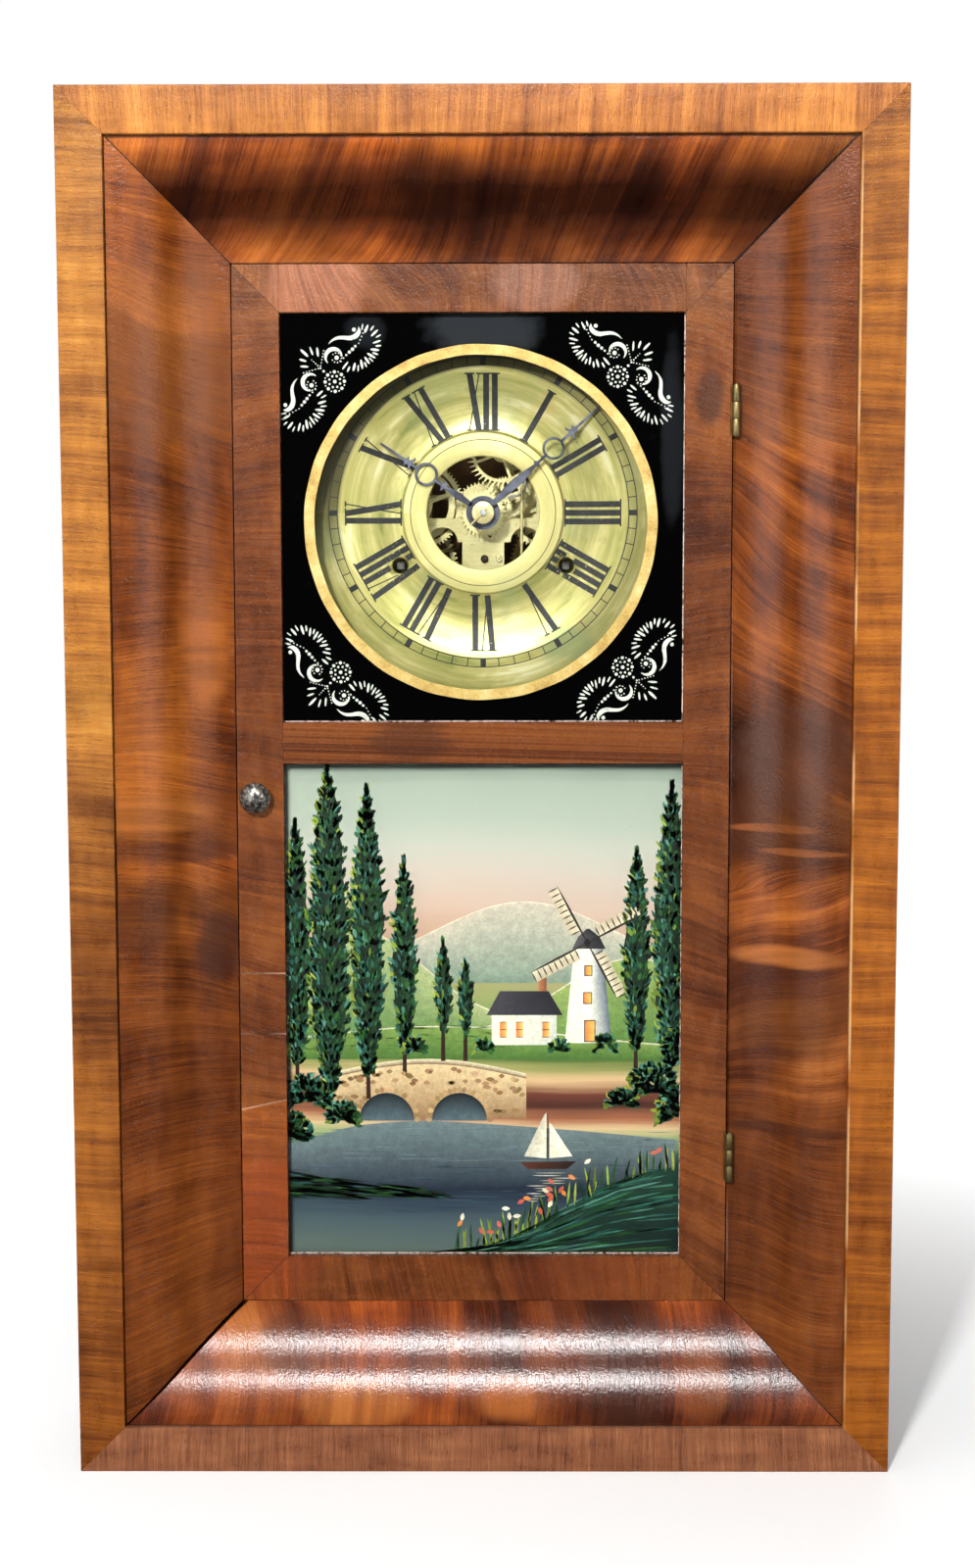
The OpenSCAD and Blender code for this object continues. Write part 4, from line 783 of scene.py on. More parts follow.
scroll = [
    14.2 + 11j, 14 + 13.7j, 12.9 + 16.2j, 10.8 + 18.3j, 8.5 + 20.2j, 7.3 + 22.6j, 7.5 + 25.2j, 9.1 + 26.8j]
for centre, heading in (
    (-70.8 + 528.1j, 137), (64.7 + 530.2j, 46), (-69.1 + 388.9j, 226), (67.7 + 391.2j, 317),
):
    jitter = random.Random(heading)
    for mirror in (1, -1):
        def place(spot):
            return centre + ray(heading) * complex(spot.real, mirror * spot.imag)

        def petal(spot, angle, long, wide):
            tip = place(spot + cmath.rect(1, angle)) - place(spot)
            long, wide = long * jitter.uniform(0.88, 1.08), wide * jitter.uniform(0.8, 1.1)
            leaf_shape(place(spot), long, wide, cmath.phase(tip))

        stroke(scroll, (0.2, 0.9, 1.5, 1.7, 2.1, 2.3, 1.9, 0.2), place)
        arc = [8.1 + 8.1j + ray(a, 3.95) for a in range(-85, 136, 20)]
        stroke(arc, [0.3 + 1.7 * math.sin(math.pi * i / 11) for i in range(12)], place, 3)
        for k in range(18):
            angle = math.radians(-95 - 12.2 * k)
            oval = (math.cos(angle) ** 2 / 6.7 ** 2 + math.sin(angle) ** 2 / 10.2 ** 2) ** -0.5
            out, long, wide = (1.4, 3.0, 0.85) if k % 2 else (0.3, 4.5, 1.15)
            petal(2.4 + 19.4j + cmath.rect(oval + out, angle), angle, long, wide)
        stem = (0.7, 0.8, 1.1, 1.5, 1.7, 1.3)
        dots = [(complex(4.3 + 0.2 * math.sin(k), 9 + 2 * k), wide) for k, wide in enumerate(stem)]
        dots += [(3.9 + 21.1j + ray(60) * complex(k * 1.7, 0.35 * k), 0.65) for k in range(5)]
        dots += [(7 + 8.9j + ray(36 * k, 2.3), 0.65) for k in range(9)] + [(7 + 8.9j, 2.1)]
        dots += [(complex(10 + 0.75 * k, 0.9 + 1.25 * k), 0.65) for k in range(6)] + [(9.9 + 24.3j, 1.9)]
        for spot, wide in dots:
            leaf_shape(place(spot), wide, wide)
        for spot, angle, long in ((18 + 3j, 26, 4.2), (15.5 + 4.7j, 40, 4.6)):
            petal(spot, math.radians(angle), long, 1.1)
    petal(19.8, 0, 5.3, 1.3)
    for spot, wide in (7.2, 1.2), (9.4, 1.0), (11.0, 0.7), (12.4, 0.7), (13.7, 0.6), (15.0, 0.5), (0, 1.8):
        leaf_shape(place(spot), wide, wide)
    for far, wide, start in ((2.75, 1.1, 22), (4.6, 1.6, 0), (4.85, 0.7, 22)):
        for k in range(8):
            leaf_shape(place(ray(start + 45 * k, far)), wide, wide)
stencilled = piece("corner_stencils", stencil, silver_powder, "door", tidy=False)
if sum(face.normal.y for face in stencilled.data.polygons) > 0:
    stencilled.data.flip_normals()

# Dust and old putty have gathered in the corner between each glass and the rail below it, and
# thinly up its right side.
putty = Finish("putty_dust")
crumbs = putty.noise(380, 4, 0.7)
putty_tint = putty.ramp(crumbs, (0.35, 120, 98, 86), (0.6, 206, 188, 176))
putty_dust = putty.done(putty_tint, 0.9, crumbs, 0.05, alpha=crumbs.rise(0.36, 0.5))
for name, (low, high), wide, slot in (
    ("upper", upper_z, 0.6, "mask_glass"), ("lower", lower_z, 0.4, "tablet_glass"),
):
    for side, left, z in (("", -open_w, (low, low + 0.7)), ("_right", open_w - wide, (low + 0.7, high))):
        line = block((left, open_w), (pane_front - 0.06, pane_front - 0.02), z)
        piece("putty_" + name + side, line, putty_dust, "door")

# The lower tablet: a landscape painted by hand on the back of the glass. Every near thing was
# laid on in small touches, and the sky, the fields and the river were wiped on behind them.
glazed("lower_pane", (95.7, 349.6), "lower_glass")
view = Finish("painted_bands")
wipe = view.grain(view.x * 9, 0, view.z * 300, 4, 0.6)
sag = view.grain(view.x * 11, 0, view.z * 5, 1)
speck = view.noise(420, 2, 0.6).rise(0.735, 0.77)
level = view.z * 1000 + (wipe - 0.5) * 8 + (sag - 0.5) * 12 + view.x * 25
# The top band darkens the sky along its top edge as painted shade under the middle rail; unlit below adds the
# painted shadow along the top and left edges.
bands = (
    (100, 84, 98, 92), (114, 66, 84, 90), (126, 36, 52, 70), (134, 16, 28, 48), (141, 10, 24, 34),
    (146, 14, 48, 36), (152, 58, 96, 58), (159, 138, 158, 104), (164, 208, 178, 134), (169, 160, 96, 62),
    (176, 66, 26, 16), (183, 112, 54, 32), (189, 208, 172, 128), (194, 150, 146, 84), (200, 74, 104, 40),
    (214, 96, 138, 62), (230, 146, 150, 92), (258, 184, 148, 122), (272, 192, 166, 150),
    (290, 188, 176, 164), (302, 180, 178, 166), (316, 164, 171, 157), (334, 156, 164, 150),
    (345, 118, 130, 116))
ground = view.ramp((level - 100) / 245, *[((z - 100) / 245, *colour) for z, *colour in bands])
ground = view.mix(speck * 0.6, ground, (96, 92, 78))
shade_top, shade_left = 0.3402, -0.0935
unlit = (view.z + (wipe - 0.5) * 0.002 - shade_top).rise(0, 0.0026) + (shade_left - view.x).rise(0, 0.0024)
unlit = unlit.math("MINIMUM", 1)
bands_made = view.done(view.mix(unlit * 0.8, ground, (26, 24, 16)), 0.5, wipe, 0.02)
scenery = block((-open_w, open_w), (sheet_y, paint_back), lower_z)
piece("painted_bands", scenery, bands_made, "door")

touched = Finish("painted_touches")
laid_on = touched.node("Attribute", attribute_name="paint")
bristle = touched.noise(900, 3, 0.7)
thickness = bristle * 0.5 + touched.noise(260, 4, 0.65) * 0.5
shade = touched.course(thickness, ((0.3, 0.64), (0.5, 0.92), (0.7, 1.25)))
painted_touches = touched.done(touched.times(laid_on, shade), 0.45, bristle, 0.02)
touches = bmesh.new()
hue = touches.loops.layers.float_color.new("paint")
brush = random.Random(7)
draw = brush.uniform


def touch(layer, rows):
    """A run of paint in a layer of the picture. Each row is its two sides and their colours."""
    def corner(spot, colour):
        return touches.verts.new((spot.real * mm, depth, spot.imag * mm)), tone(*colour)

    depth = (sheet_y - 0.008 - 0.004 * layer - 0.0005 * (len(touches.faces) % 8)) * mm
    made = [[corner(*side) for side in row] for row in rows]
    for (a, b), (c, d) in zip(made, made[1:]):
        corners = (a, b, d, c)
        face = touches.faces.new([corner[0] for corner in corners])
        for loop, corner in zip(face.loops, corners):
            loop[hue] = corner[1]


def dab(layer, spot, long, wide, lean, colour):
    """A single touch of the brush, pointed at both ends."""
    rows = []
    for t in (-0.5, -0.3, 0, 0.3, 0.5):
        half = wide * (0.26 - t * t)
        rows.append([(spot + ray(lean) * complex(long * t, side), colour) for side in (half, -half)])
    touch(layer, rows)


def sheet(layer, low, high, first, second):
    """A shape between two lines, which shades from one colour at the first to another at the second."""
    touch(layer, [[(a, first), (b, second)] for a, b in zip(low, high)])


def upright(layer, spot, wide, high, first, second):
    """A sheet with four square corners, the lowest left one of them at this spot."""
    sheet(layer, [spot, spot + high * 1j], [spot + wide, spot + wide + high * 1j], first, second)


def level_with(line, z):
    """The places of a line, brought to one height."""
    return [complex(spot.real, z) for spot in line]


def bearing(way):
    """The angle of a direction in degrees."""
    return math.degrees(cmath.phase(way))


def near_to(colour, spread=16):
    """A colour close to this one, drawn at random."""
    change = draw(-spread, spread)
    return [max(4, min(250, v + change + draw(-6, 6))) for v in colour]


across = [-97 + 194 * i / 60 for i in range(61)]
for layer, middle, width, height, foot, colours in (
    (0, 20, 62, 36, 240, ((128, 148, 130), (196, 186, 168))),
    (1, -62, 46, 46, 216, ((104, 140, 74), (176, 182, 128))),
    (2, 74, 52, 40, 208, ((84, 128, 52), (150, 168, 92))),
    (3, -20, 90, 12, 202, ((70, 112, 40), (124, 152, 70))),
):
    top_line = [complex(x, foot + height * math.exp(-((x - middle) / width) ** 2)) for x in across]
    sheet(layer, level_with(top_line, foot - 4), top_line, *colours)
    sheet(layer, top_line, [spot + 0.7j for spot in top_line], (228, 222, 200), (214, 190, 172))
for k in range(60):
    spot = complex(draw(-96, 96), draw(203, 216))
    dab(3, spot, draw(5, 16), 0.9, draw(-5, 5), near_to((92, 132, 56), 26))

# A windmill and its house stand on the farther bank, lime washed, with orange lights.
sheet(4, [40 + 206j, 44.5 + 253j], [52 + 206j, 52 + 253j], (236, 232, 208), (240, 238, 220))
sheet(4, [52 + 206j, 52 + 253j], [63 + 206j, 58.5 + 253j], (240, 238, 220), (92, 102, 124))
cap = [43.5 + 253j, 46.5 + 259j, 50.5 + 263j], [60 + 253j, 57 + 259j, 52 + 263j]
sheet(5, *cap, (84, 80, 84), (28, 28, 34))
for spot, wide, high in ((50 + 207j, 4.6, 10), (49.5 + 226j, 3.4, 5), (50 + 240j, 3.0, 4.4)):
    upright(5, spot - 0.5 - 0.5j, wide + 1, high + 1, (44, 34, 30), (70, 62, 58))
    upright(6, spot, wide, high, (222, 120, 62), (244, 186, 82))
hub = 51 + 256j
for k in range(4):
    turn = ray(28 + 90 * k)
    sail = [hub + turn * 7, hub + turn * 31]
    sheet(7, sail, [spot + turn * 5.6j for spot in sail], (226, 214, 184), (196, 178, 150))
    dab(8, hub + turn * 15.5, 34, 2.4, bearing(turn), (36, 24, 20))
    for j in range(9):
        dab(8, hub + turn * (7 + 3 * j + 2.8j), 5.6, 1.5, bearing(turn) + 90, (58, 40, 32))
dab(9, hub, 3.4, 9, 0, (24, 20, 22))
upright(4, 4 + 205j, 32, 16, (238, 232, 206), (206, 206, 196))
sheet(5, [1.5 + 220j, 8 + 232j], [39 + 220j, 32 + 232j], (66, 62, 70), (34, 32, 40))
upright(4, 27 + 229j, 4, 10, (196, 120, 72), (122, 66, 42))
for x in (8, 16, 29):
    upright(6, x + 209j, 3.4, 7.5, (214, 110, 54), (246, 190, 92))
    for j in range(3):
        dab(7, complex(x + 1.7, 209 + 3.75 * j), 4.4, 0.9, 0, (50, 38, 34))
for k in range(9):
    dab(6, 4 + 4 * k + 220.2j, 3.4, 0.8, 0, (32, 30, 36))

# A stone bridge with two arches crosses the river, and a boat sails below it.
deck = [complex(x, 187 + 8.5 * math.cos((x + 28) / 34)) for x in range(-78, 24, 3)]
sheet(4, level_with(deck, 168), deck, (150, 112, 74), (222, 196, 150))
sheet(5, deck, [spot + 2.6j for spot in deck], (112, 74, 46), (236, 222, 186))
arches, arch_r = (-48 + 167.5j, -12 + 167.5j), 13.5
for middle in arches:
    opening = [middle + arch_r * ray(9 * i) for i in range(21)]
    sheet(5, level_with(opening, 167), opening, (84, 104, 112), (14, 22, 30))
    for spot in opening:
        out = spot - middle
        dab(6, spot + out / abs(out) * 1.6, 3.2, 5.2, bearing(out), near_to((178, 142, 98), 30))
for k in range(120):
    x = draw(-76, 20)
    spot = complex(x, draw(170, 186 + 8 * math.cos((x + 28) / 34)))
    if min(abs(spot - middle) for middle in arches) > 17:
        dab(6, spot, draw(2.5, 4.5), 4.4, draw(-6, 6), near_to((164, 126, 86), 34))
bank = []
for x in range(-97, 98, 4):
    bank.append(complex(x, 167 - abs(x + 30) ** 1.3 * 0.018 - 7 * math.exp(-((x + 97) / 24) ** 2)))
sheet(3, level_with(bank, 132), bank, (22, 36, 56), (108, 124, 126))
for k in range(150):
    spot = complex(draw(-95, 95), draw(118, 164))
    water = (46, 66, 84) if spot.imag < 146 else (98, 116, 120)
    dab(4, spot, draw(8, 30), 0.8, draw(-1.5, 1.5), near_to(water, 22))
sheet(7, [18 + 146j, 22 + 142.5j], [46 + 146.5j, 41 + 142.5j], (92, 44, 22), (40, 20, 14))
sheet(8, [31 + 148j, 31 + 171j], [20 + 149j, 30 + 170j], (240, 232, 206), (204, 196, 176))
sheet(8, [32.5 + 148j, 32.5 + 166j], [44 + 149j, 33.5 + 165j], (228, 214, 184), (246, 240, 220))
dab(9, 31.7 + 158j, 28, 1.4, 90, (34, 20, 16))
for k in range(12):
    dab(6, complex(32 + draw(-9, 9), 140.5 - 1.3 * k), 16 - k, 1.0, 0, near_to((186, 182, 164), 20))

# Poplars, bushes and reeds: a dark ground first, then leaves from deep green to olive and teal.
greens = (
    (6, 26, 14), (16, 52, 24), (34, 84, 30), (30, 88, 72), (70, 128, 108), (104, 130, 30), (150, 166, 50))


def lit_green(level, spread):
    """A green about this far up the list, drawn at random."""
    return greens[int(min(6, max(0, brush.gauss(level, spread))))]


for x, foot, high, spread, layer in (
    (-92, 190, 116, 8, 7), (-76, 176, 158, 11, 8), (-57, 184, 138, 9.5, 7), (-39, 196, 92, 7, 6),
    (92, 188, 136, 10, 7), (75, 196, 96, 7, 6), (-20, 203, 44, 4.5, 5), (-9, 203, 34, 4, 5),
):
    outline = []
    for i in range(25):
        reach = spread * math.sin(math.pi * min(1, 0.06 + i / 25)) ** 0.62 * draw(0.82, 1.08)
        outline.append((foot + 9 + high * i / 24, reach))
    trunk = (foot - 6, 1.1), (foot + 20, 0.7)
    bark = [[complex(x + side * half, z) for z, half in trunk] for side in (-1, 1)]
    sheet(layer, *bark, (64, 30, 16), (30, 16, 12))
    leafy = [[complex(x + side * reach, z) for z, reach in outline] for side in (-0.85, 0.85)]
    sheet(layer, *leafy, *greens[:2])
    for k in range(int(high * spread * 0.55)):
        t, side = brush.random(), draw(-1, 1)
        z, reach = outline[int(t * 24.99)]
        green = lit_green(2.4 - side * 1.6 + (abs(side) > 0.7) * 1.2, 1.3)
        spot = complex(x + side * reach, z + draw(-2, 2))
        dab(layer + 1, spot, draw(3, 5.5), draw(2, 4.4), 90 - side * 38 + draw(-16, 16), near_to(green))
for bush, radius in (
    (-88 + 178j, 13), (-70 + 168j, 9), (-97 + 160j, 12), (84 + 182j, 14), (97 + 170j, 13), (68 + 176j, 8),
    (60 + 204j, 6), (37 + 203j, 5), (0 + 203j, 5), (96 + 206j, 9), (-34 + 203j, 6),
):
    for k in range(int(radius * radius * 1.5)):
        out = cmath.rect(radius * brush.random() ** 0.6, math.radians(draw(-25, 205)))
        green = lit_green(1.2 + 3.2 * abs(out) / radius - out.real / radius, 1.1)
        dab(8 + (k % 2), bush + out, draw(2.6, 4.6), draw(3, 5), bearing(out) + draw(-40, 40), near_to(green))
for k in range(130):
    x = -97 + 74 * brush.random() ** 1.5
    spot = complex(x, 128 + 13 * brush.random() * (1 - (x + 97) / 100))
    dab(9, spot, draw(10, 26), 2.4, draw(-9, -3), near_to(greens[brush.choice((0, 0, 1, 1, 2, 3))]))
bank_foot, bank_top, bank_run = 99, 146, 19
bank_high = bank_top - bank_foot
near_bank = [complex(x, bank_foot + bank_high / (1 + math.exp(-(x - 40) / bank_run))) for x in across]
sheet(9, level_with(near_bank, bank_foot - 1), near_bank, (6, 26, 22), (18, 58, 44))
for k in range(170):
    spot = near_bank[brush.randrange(22, 60)]
    low = brush.random() ** 1.4
    above, below = spot.imag - bank_foot, bank_top - spot.imag
    slope = math.degrees(math.atan(above * below / bank_high / bank_run)) * (1 - low * 0.8)
    spot = complex(spot.real, bank_foot + above * (1 - low))
    dab(10, spot, draw(14, 34), draw(1.2, 2.6), slope, near_to(greens[brush.choice((1, 2, 3, 3, 4))], 22))
for k in range(90):
    spot = near_bank[brush.randrange(26, 60)]
    high = draw(5, 17)
    reed = spot + complex(0, high / 2 - 2)
    dab(10, reed, high, 2.4, 90 + draw(-16, 16), near_to(greens[brush.choice((1, 2, 5, 6))]))
    if k % 4 == 0:
        flower = spot + complex(draw(-3, 3), high)
        petals = ((236, 226, 196), (224, 132, 60), (206, 96, 70))
        dab(11, flower, 2.2, 8, draw(0, 180), near_to(brush.choice(petals), 12))
for face in [face for face in touches.faces if max(abs(vert.co.x) for vert in face.verts) > 101 * mm]:
    touches.faces.remove(face)
painted = piece("lower_picture", touches, painted_touches, "door", tidy=False)
for face in painted.data.polygons:
    if face.normal.y > 0:
        face.flip()

# Two cast brass butts and a pewter knob on an iron spindle, which turns the latch behind.
def brass(name, dark, light, roughness, tarnish, brush=(1, 1, 1), depth=0.03, metallic=1.0):
    metal = Finish(name)
    cloud = metal.noise(45, 5, 0.65)
    streak = metal.vector(metal.x * brush[0], metal.y * brush[1], metal.z * brush[2])
    drawn = metal.noise(700, 3, 0.6, streak)
    spot = metal.noise(260, 4, 0.7).rise(0.58, 0.72)
    tint = metal.ramp(cloud * 0.7 + drawn * 0.3, (0.32, *dark), (0.66, *light))
    tint = metal.mix(spot * tarnish, tint, (86, 64, 30))
    rough = cloud * 0.24 + drawn * 0.12 + spot * 0.15 + (roughness - 0.18)
    return metal.done(tint, rough, drawn, depth, metallic=metallic)


hinge_brass = brass("hinge_brass", (92, 80, 50), (156, 138, 92), 0.42, tarnish=0.6, depth=0.06)
dress(hinge_brass, "case_hinge_leaves", "door_hinge_leaves", ease=0.12)

pewter = Finish("mottled_pewter")
mottle = pewter.noise(620, 5, 0.7)
pits = pewter.noise(1500)
pewter_tint = pewter.ramp(mottle, (0.36, 36, 34, 32), (0.5, 110, 106, 100), (0.64, 196, 192, 184))
pewter_metal = pewter.done(pewter_tint, mottle * 0.3 + 0.22, mottle + pits * 0.5, 0.1, metallic=0.9)
knob_r, knob_dome = 7.6, 4.95
knob_side = [(0, -15.3), (2, -15.3), (2, -33.2), (4.6, -33.2), (4.8, -33.7), (4.4, -34.3), (3.2, -35.2),
             (3.0, -36.2), (3.3, -37.4), (5.2, -38.2), (7.1, -38.7), (7.55, -39.2)]
for angle in range(0, 91, 9):
    swung = cmath.rect(1, math.radians(angle))
    knob_side.append((knob_r * swung.real, -39.4 - knob_dome * swung.imag))
knob = piece("pewter_knob", turned(knob_side, 64, (-110, 328.9)), pewter_metal, "latch", sharp=50)
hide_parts("door_knob")
dress(old_iron, "latch_tongue", ease=0.2)

# The dial: sheet brass, pressed and spun to a raised ring, a hollow for the numerals and a flat
# minute track, lacquered, with everything on it printed in black. It is screwed to its strips.
dial_x, dial_z, dial_y = 0.0, 466.0, -12
drum_x, drum_z, key_hole_r = 40.7, 440.4, 4
dial_front = [
    (27.5, -9.4), (27.7, -9.9), (28.2, -10.05), (38.6, -10.05), (39.0, -9.9), (39.3, -9.2), (39.6, -8.4),
    (40.4, -8.0), (46, -7.4), (51, -7.3), (56, -7.8), (62, -9.2), (68, -10.9), (69.6, -11.7), (70.4, -11.95),
    (71.2, dial_y), (77, dial_y)]
dial_shape = turned(dial_front, 192, (dial_x, dial_z))
middle = Vector((0, dial_y * mm, dial_z * mm))
rim = [e for e in dial_shape.edges if e.is_boundary and (e.verts[0].co - middle).length > 76 * mm]
square = rectangle(dial_shape, (-112, 112), (366, 566), dial_y)
bmesh.ops.triangle_fill(
    dial_shape, edges=rim + square, use_beauty=True, use_dissolve=False, normal=(0, -1, 0))
bmesh.ops.recalc_face_normals(dial_shape, faces=dial_shape.faces)
if sum(f.normal.y for f in dial_shape.faces) > 0:
    bmesh.ops.reverse_faces(dial_shape, faces=dial_shape.faces)
bmesh.ops.solidify(dial_shape, geom=dial_shape.faces[:], thickness=0.7 * mm)

spun = Finish("dial_brass")
from_x, from_z = spun.x - dial_x * mm, spun.z - dial_z * mm
far = (from_x * from_x + from_z * from_z) ** 0.5
turn = from_z.math("ARCTAN2", from_x)
cloud = spun.noise(24, 4, 0.6)
smear = spun.grain(far * 170, turn * 1.1 + cloud * 1.6, 3, 3, 0.6)
fine = spun.grain(far * 2600, turn * 6, 0, 3)
stain = spun.noise(70, 5, 0.7).rise(0.6, 0.76)
tint = spun.ramp(
    smear * 0.6 + cloud * 0.3 + fine * 0.1, (0.36, 134, 140, 76), (0.43, 176, 170, 98), (0.5, 196, 186, 116),
    (0.56, 218, 206, 138), (0.63, 244, 236, 188))
rosy = spun.grain(from_x * 22, from_z * 22, 9).rise(0.52, 0.7) * from_x.rise(-10 * mm, 50 * mm)
low_down = 0.35 + from_z.rise(20 * mm, -70 * mm) * 0.5
green = spun.grain(from_x * 26, from_z * 26, 5, 3).rise(0.5, 0.66) * low_down
line = 1 - abs(far - 35.5 * mm).rise(0.1 * mm, 0.26 * mm)
flat_ring = 1 - far.rise(38.9 * mm, 39.3 * mm)
# Painted shadow: a dark crescent on the outer flat at the upper left, where the edge of the black ground on
# the glass shades the dial. shaded darkens the right side as painted shade.
painted_crescent_shadow = far.rise(69 * mm, 72 * mm) * (from_z - from_x * 0.55).rise(-10 * mm, 60 * mm)
shaded = from_x.rise(18 * mm, 76 * mm)
for share, colour in (
    (rosy * 0.5, (222, 178, 112)), (green, (158, 168, 116)), (stain * 0.3, (120, 98, 52)),
    (flat_ring * 0.5, (240, 226, 158)), (line * 0.95, (50, 40, 20)), (painted_crescent_shadow * 0.88, (54, 48, 28)),
    (shaded * 0.3, (104, 96, 56)),
):
    tint = spun.mix(share, tint, colour)
rough = cloud * 0.12 + fine * 0.06 + stain * 0.12 + 0.24 + flat_ring * 0.16
dial_metal = spun.done(tint, rough, fine - line * 2, 0.03, metallic=0.45)
dial = piece("spun_dial", dial_shape, dial_metal, sharp=60, tidy=False)
for x in (-drum_x, drum_x):
    drill = [(0, -20), (key_hole_r, -20), (key_hole_r, 0), (0, 0)]
    cut_away(dial, turned(drill, 40, (x, drum_z)))
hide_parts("dial")

# The printing: roman numerals that stand on the centre, and a track of minutes.
ink = Finish("dial_ink")
wear = ink.noise(420, 4, 0.65)
chipped = ink.noise(700, 4, 0.75)
rubbed = 0
for sign in (-1, 1):
    spot = ((ink.x - sign * drum_x * mm) ** 2 + (ink.z - drum_z * mm) ** 2) ** 0.5
    rubbed = (1 - spot.rise(5 * mm, 18 * mm)) * 0.07 + rubbed
ink_tint = ink.ramp(wear, (0.4, 22, 22, 24), (0.8, 56, 54, 56))
dial_ink = ink.done(ink_tint, 0.42 + wear * 0.2, wear, 0.01, alpha=1 - (chipped + rubbed).rise(0.66, 0.7))


def dial_depth(radius):
    """How deep the dial's face lies at this radius, in millimetres."""
    for (r0, y0), (r1, y1) in zip(dial_front, dial_front[1:]):
        if r0 <= radius <= r1:
            return y0 + (y1 - y0) * (radius - r0) / (r1 - r0)
    return dial_y


def printed(hour, low, high, wide, steps):
    """A printed bar on the dial from one (across, radius) to another, standing at an hour."""
    low, high = complex(*low), complex(*high)
    side = (high - low) / abs(high - low) * 1j * wide / 2
    rows = []
    for i in range(steps + 1):
        row = []
        for sign in (-1, 1):
            spot = (low + (high - low) * i / steps + sign * side) * ray(-30 * hour)
            place = dial_x + spot.real, dial_depth(abs(spot)) - 0.06, dial_z + spot.imag
            row.append(print_shape.verts.new([v * mm for v in place]))
        rows.append(row)
    for (a, b), (c, d) in zip(rows, rows[1:]):
        middle = (a.co + d.co) / 2 / mm
        if math.hypot(abs(middle.x) - drum_x, middle.z - drum_z) > key_hole_r + 0.6:
            print_shape.faces.new((a, c, d, b))


print_shape = bmesh.new()
letters = {
    "I": (4.2, ((0, 0, 2.9),)), "V": (7.8, ((-2.5, 0, 2.9), (2.5, 0, 0.6))),
    "X": (7.4, ((-2.3, 2.3, 2.9), (2.3, -2.3, 0.6)))}
low_r, high_r, serif = 40.2, 67.2, 1.0
for hour, numeral in enumerate(("XII", "I", "II", "III", "IIII", "V", "VI", "VII", "VIII", "IX", "X", "XI")):
    at = -sum(letters[letter][0] for letter in numeral) / 2
    for letter in numeral:
        width, strokes = letters[letter]
        middle = at + width / 2
        at += width
        for top_u, low_u, thick in strokes:
            printed(hour, (middle + low_u, low_r), (middle + top_u, high_r), thick, 30)
            for u, r in ((top_u, high_r), (low_u, low_r)):
                reach = thick / 2 + serif
                if letter != "V" or r == high_r:
                    printed(hour, (middle + u - reach, r), (middle + u + reach, r), 0.75, 4)
for minute in range(60):
    printed(minute / 5, (0, 71.3), (0, 75.1), 0.45 if minute % 5 else 2.7, 3)
for radius in (71.2, 75.2):
    half_step = radius * math.radians(3) / 2 + 0.02
    for k in range(120):
        printed(k / 10, (-half_step, radius), (half_step, radius), 0.45, 1)
ink_work = piece("dial_printing", print_shape, dial_ink)

# The hands: steel, pierced and filed, blued over a flame. A domed brass washer and a taper pin
# hold them on the arbor's tip.
blue = Finish("blued_steel")
drift = blue.noise(120, 4, 0.6)
grit = blue.noise(1600, 3, 0.6)
blue_tint = blue.ramp(drift, (0.35, 78, 78, 90), (0.6, 126, 128, 146))
blued = blue.done(blue_tint, drift * 0.2 + grit * 0.1 + 0.22, grit, 0.02, metallic=0.8)


def hand(name, boss, depth, blade, rings, minutes, body):
    """A hand stands on twelve at first, in millimetres. blade gives half widths up its length."""
    (inner, outer), (near, deep) = boss, depth
    shape = turned([(inner, near + 0.15), (inner + 0.15, near), (outer - 0.2, near), (outer, near + 0.2),
                    (outer, deep), (inner, deep), (inner, near + 0.15)], 48)
    for middle, outer, wall in rings:
        inner, edge = outer - wall, near + 0.3
        ring = turned([(inner, edge), (inner + 0.25, near), (outer - 0.25, near), (outer, edge),
                       (outer, deep), (inner, deep), (inner, edge)], 48, (0, middle))
        made = bpy.data.meshes.new(name + "_ring")
        ring.to_mesh(made)
        ring.free()
        shape.from_mesh(made)
    for stretch in blade:
        right = [(half, up) for half, up in reversed(stretch) if half]
        outline = [(-half, up) for half, up in stretch] + right
        face = shape.faces.new([shape.verts.new((x * mm, deep * mm, z * mm)) for x, z in outline])
        front_face = drawn_out(shape, [face], (0, (near - deep) * mm, 0))[0]
        bevel(shape, front_face.edges[:], 0.12, 1)
    turned_to = Matrix.Rotation(math.radians(minutes), 4, "Y")
    made = piece(name, moved(shape, turned_to, Matrix.Translation((0, 0, dial_z * mm))), blued, body)
    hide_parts(name[:-6])


def leaf_pair(up):
    """The two small curled leaves filed across a hand, above this height."""
    curl = ((0.7, 0), (1.1, 0.5), (2.3, -0.3), (3.4, 0), (3.8, 0.9), (2.7, 0.8), (1.7, 1.4), (1.1, 2.2),
            (1.8, 3.0), (2.5, 3.1), (2.3, 3.8), (1.3, 3.9), (0.7, 4.6))
    return [(half, up + further) for half, further in curl]


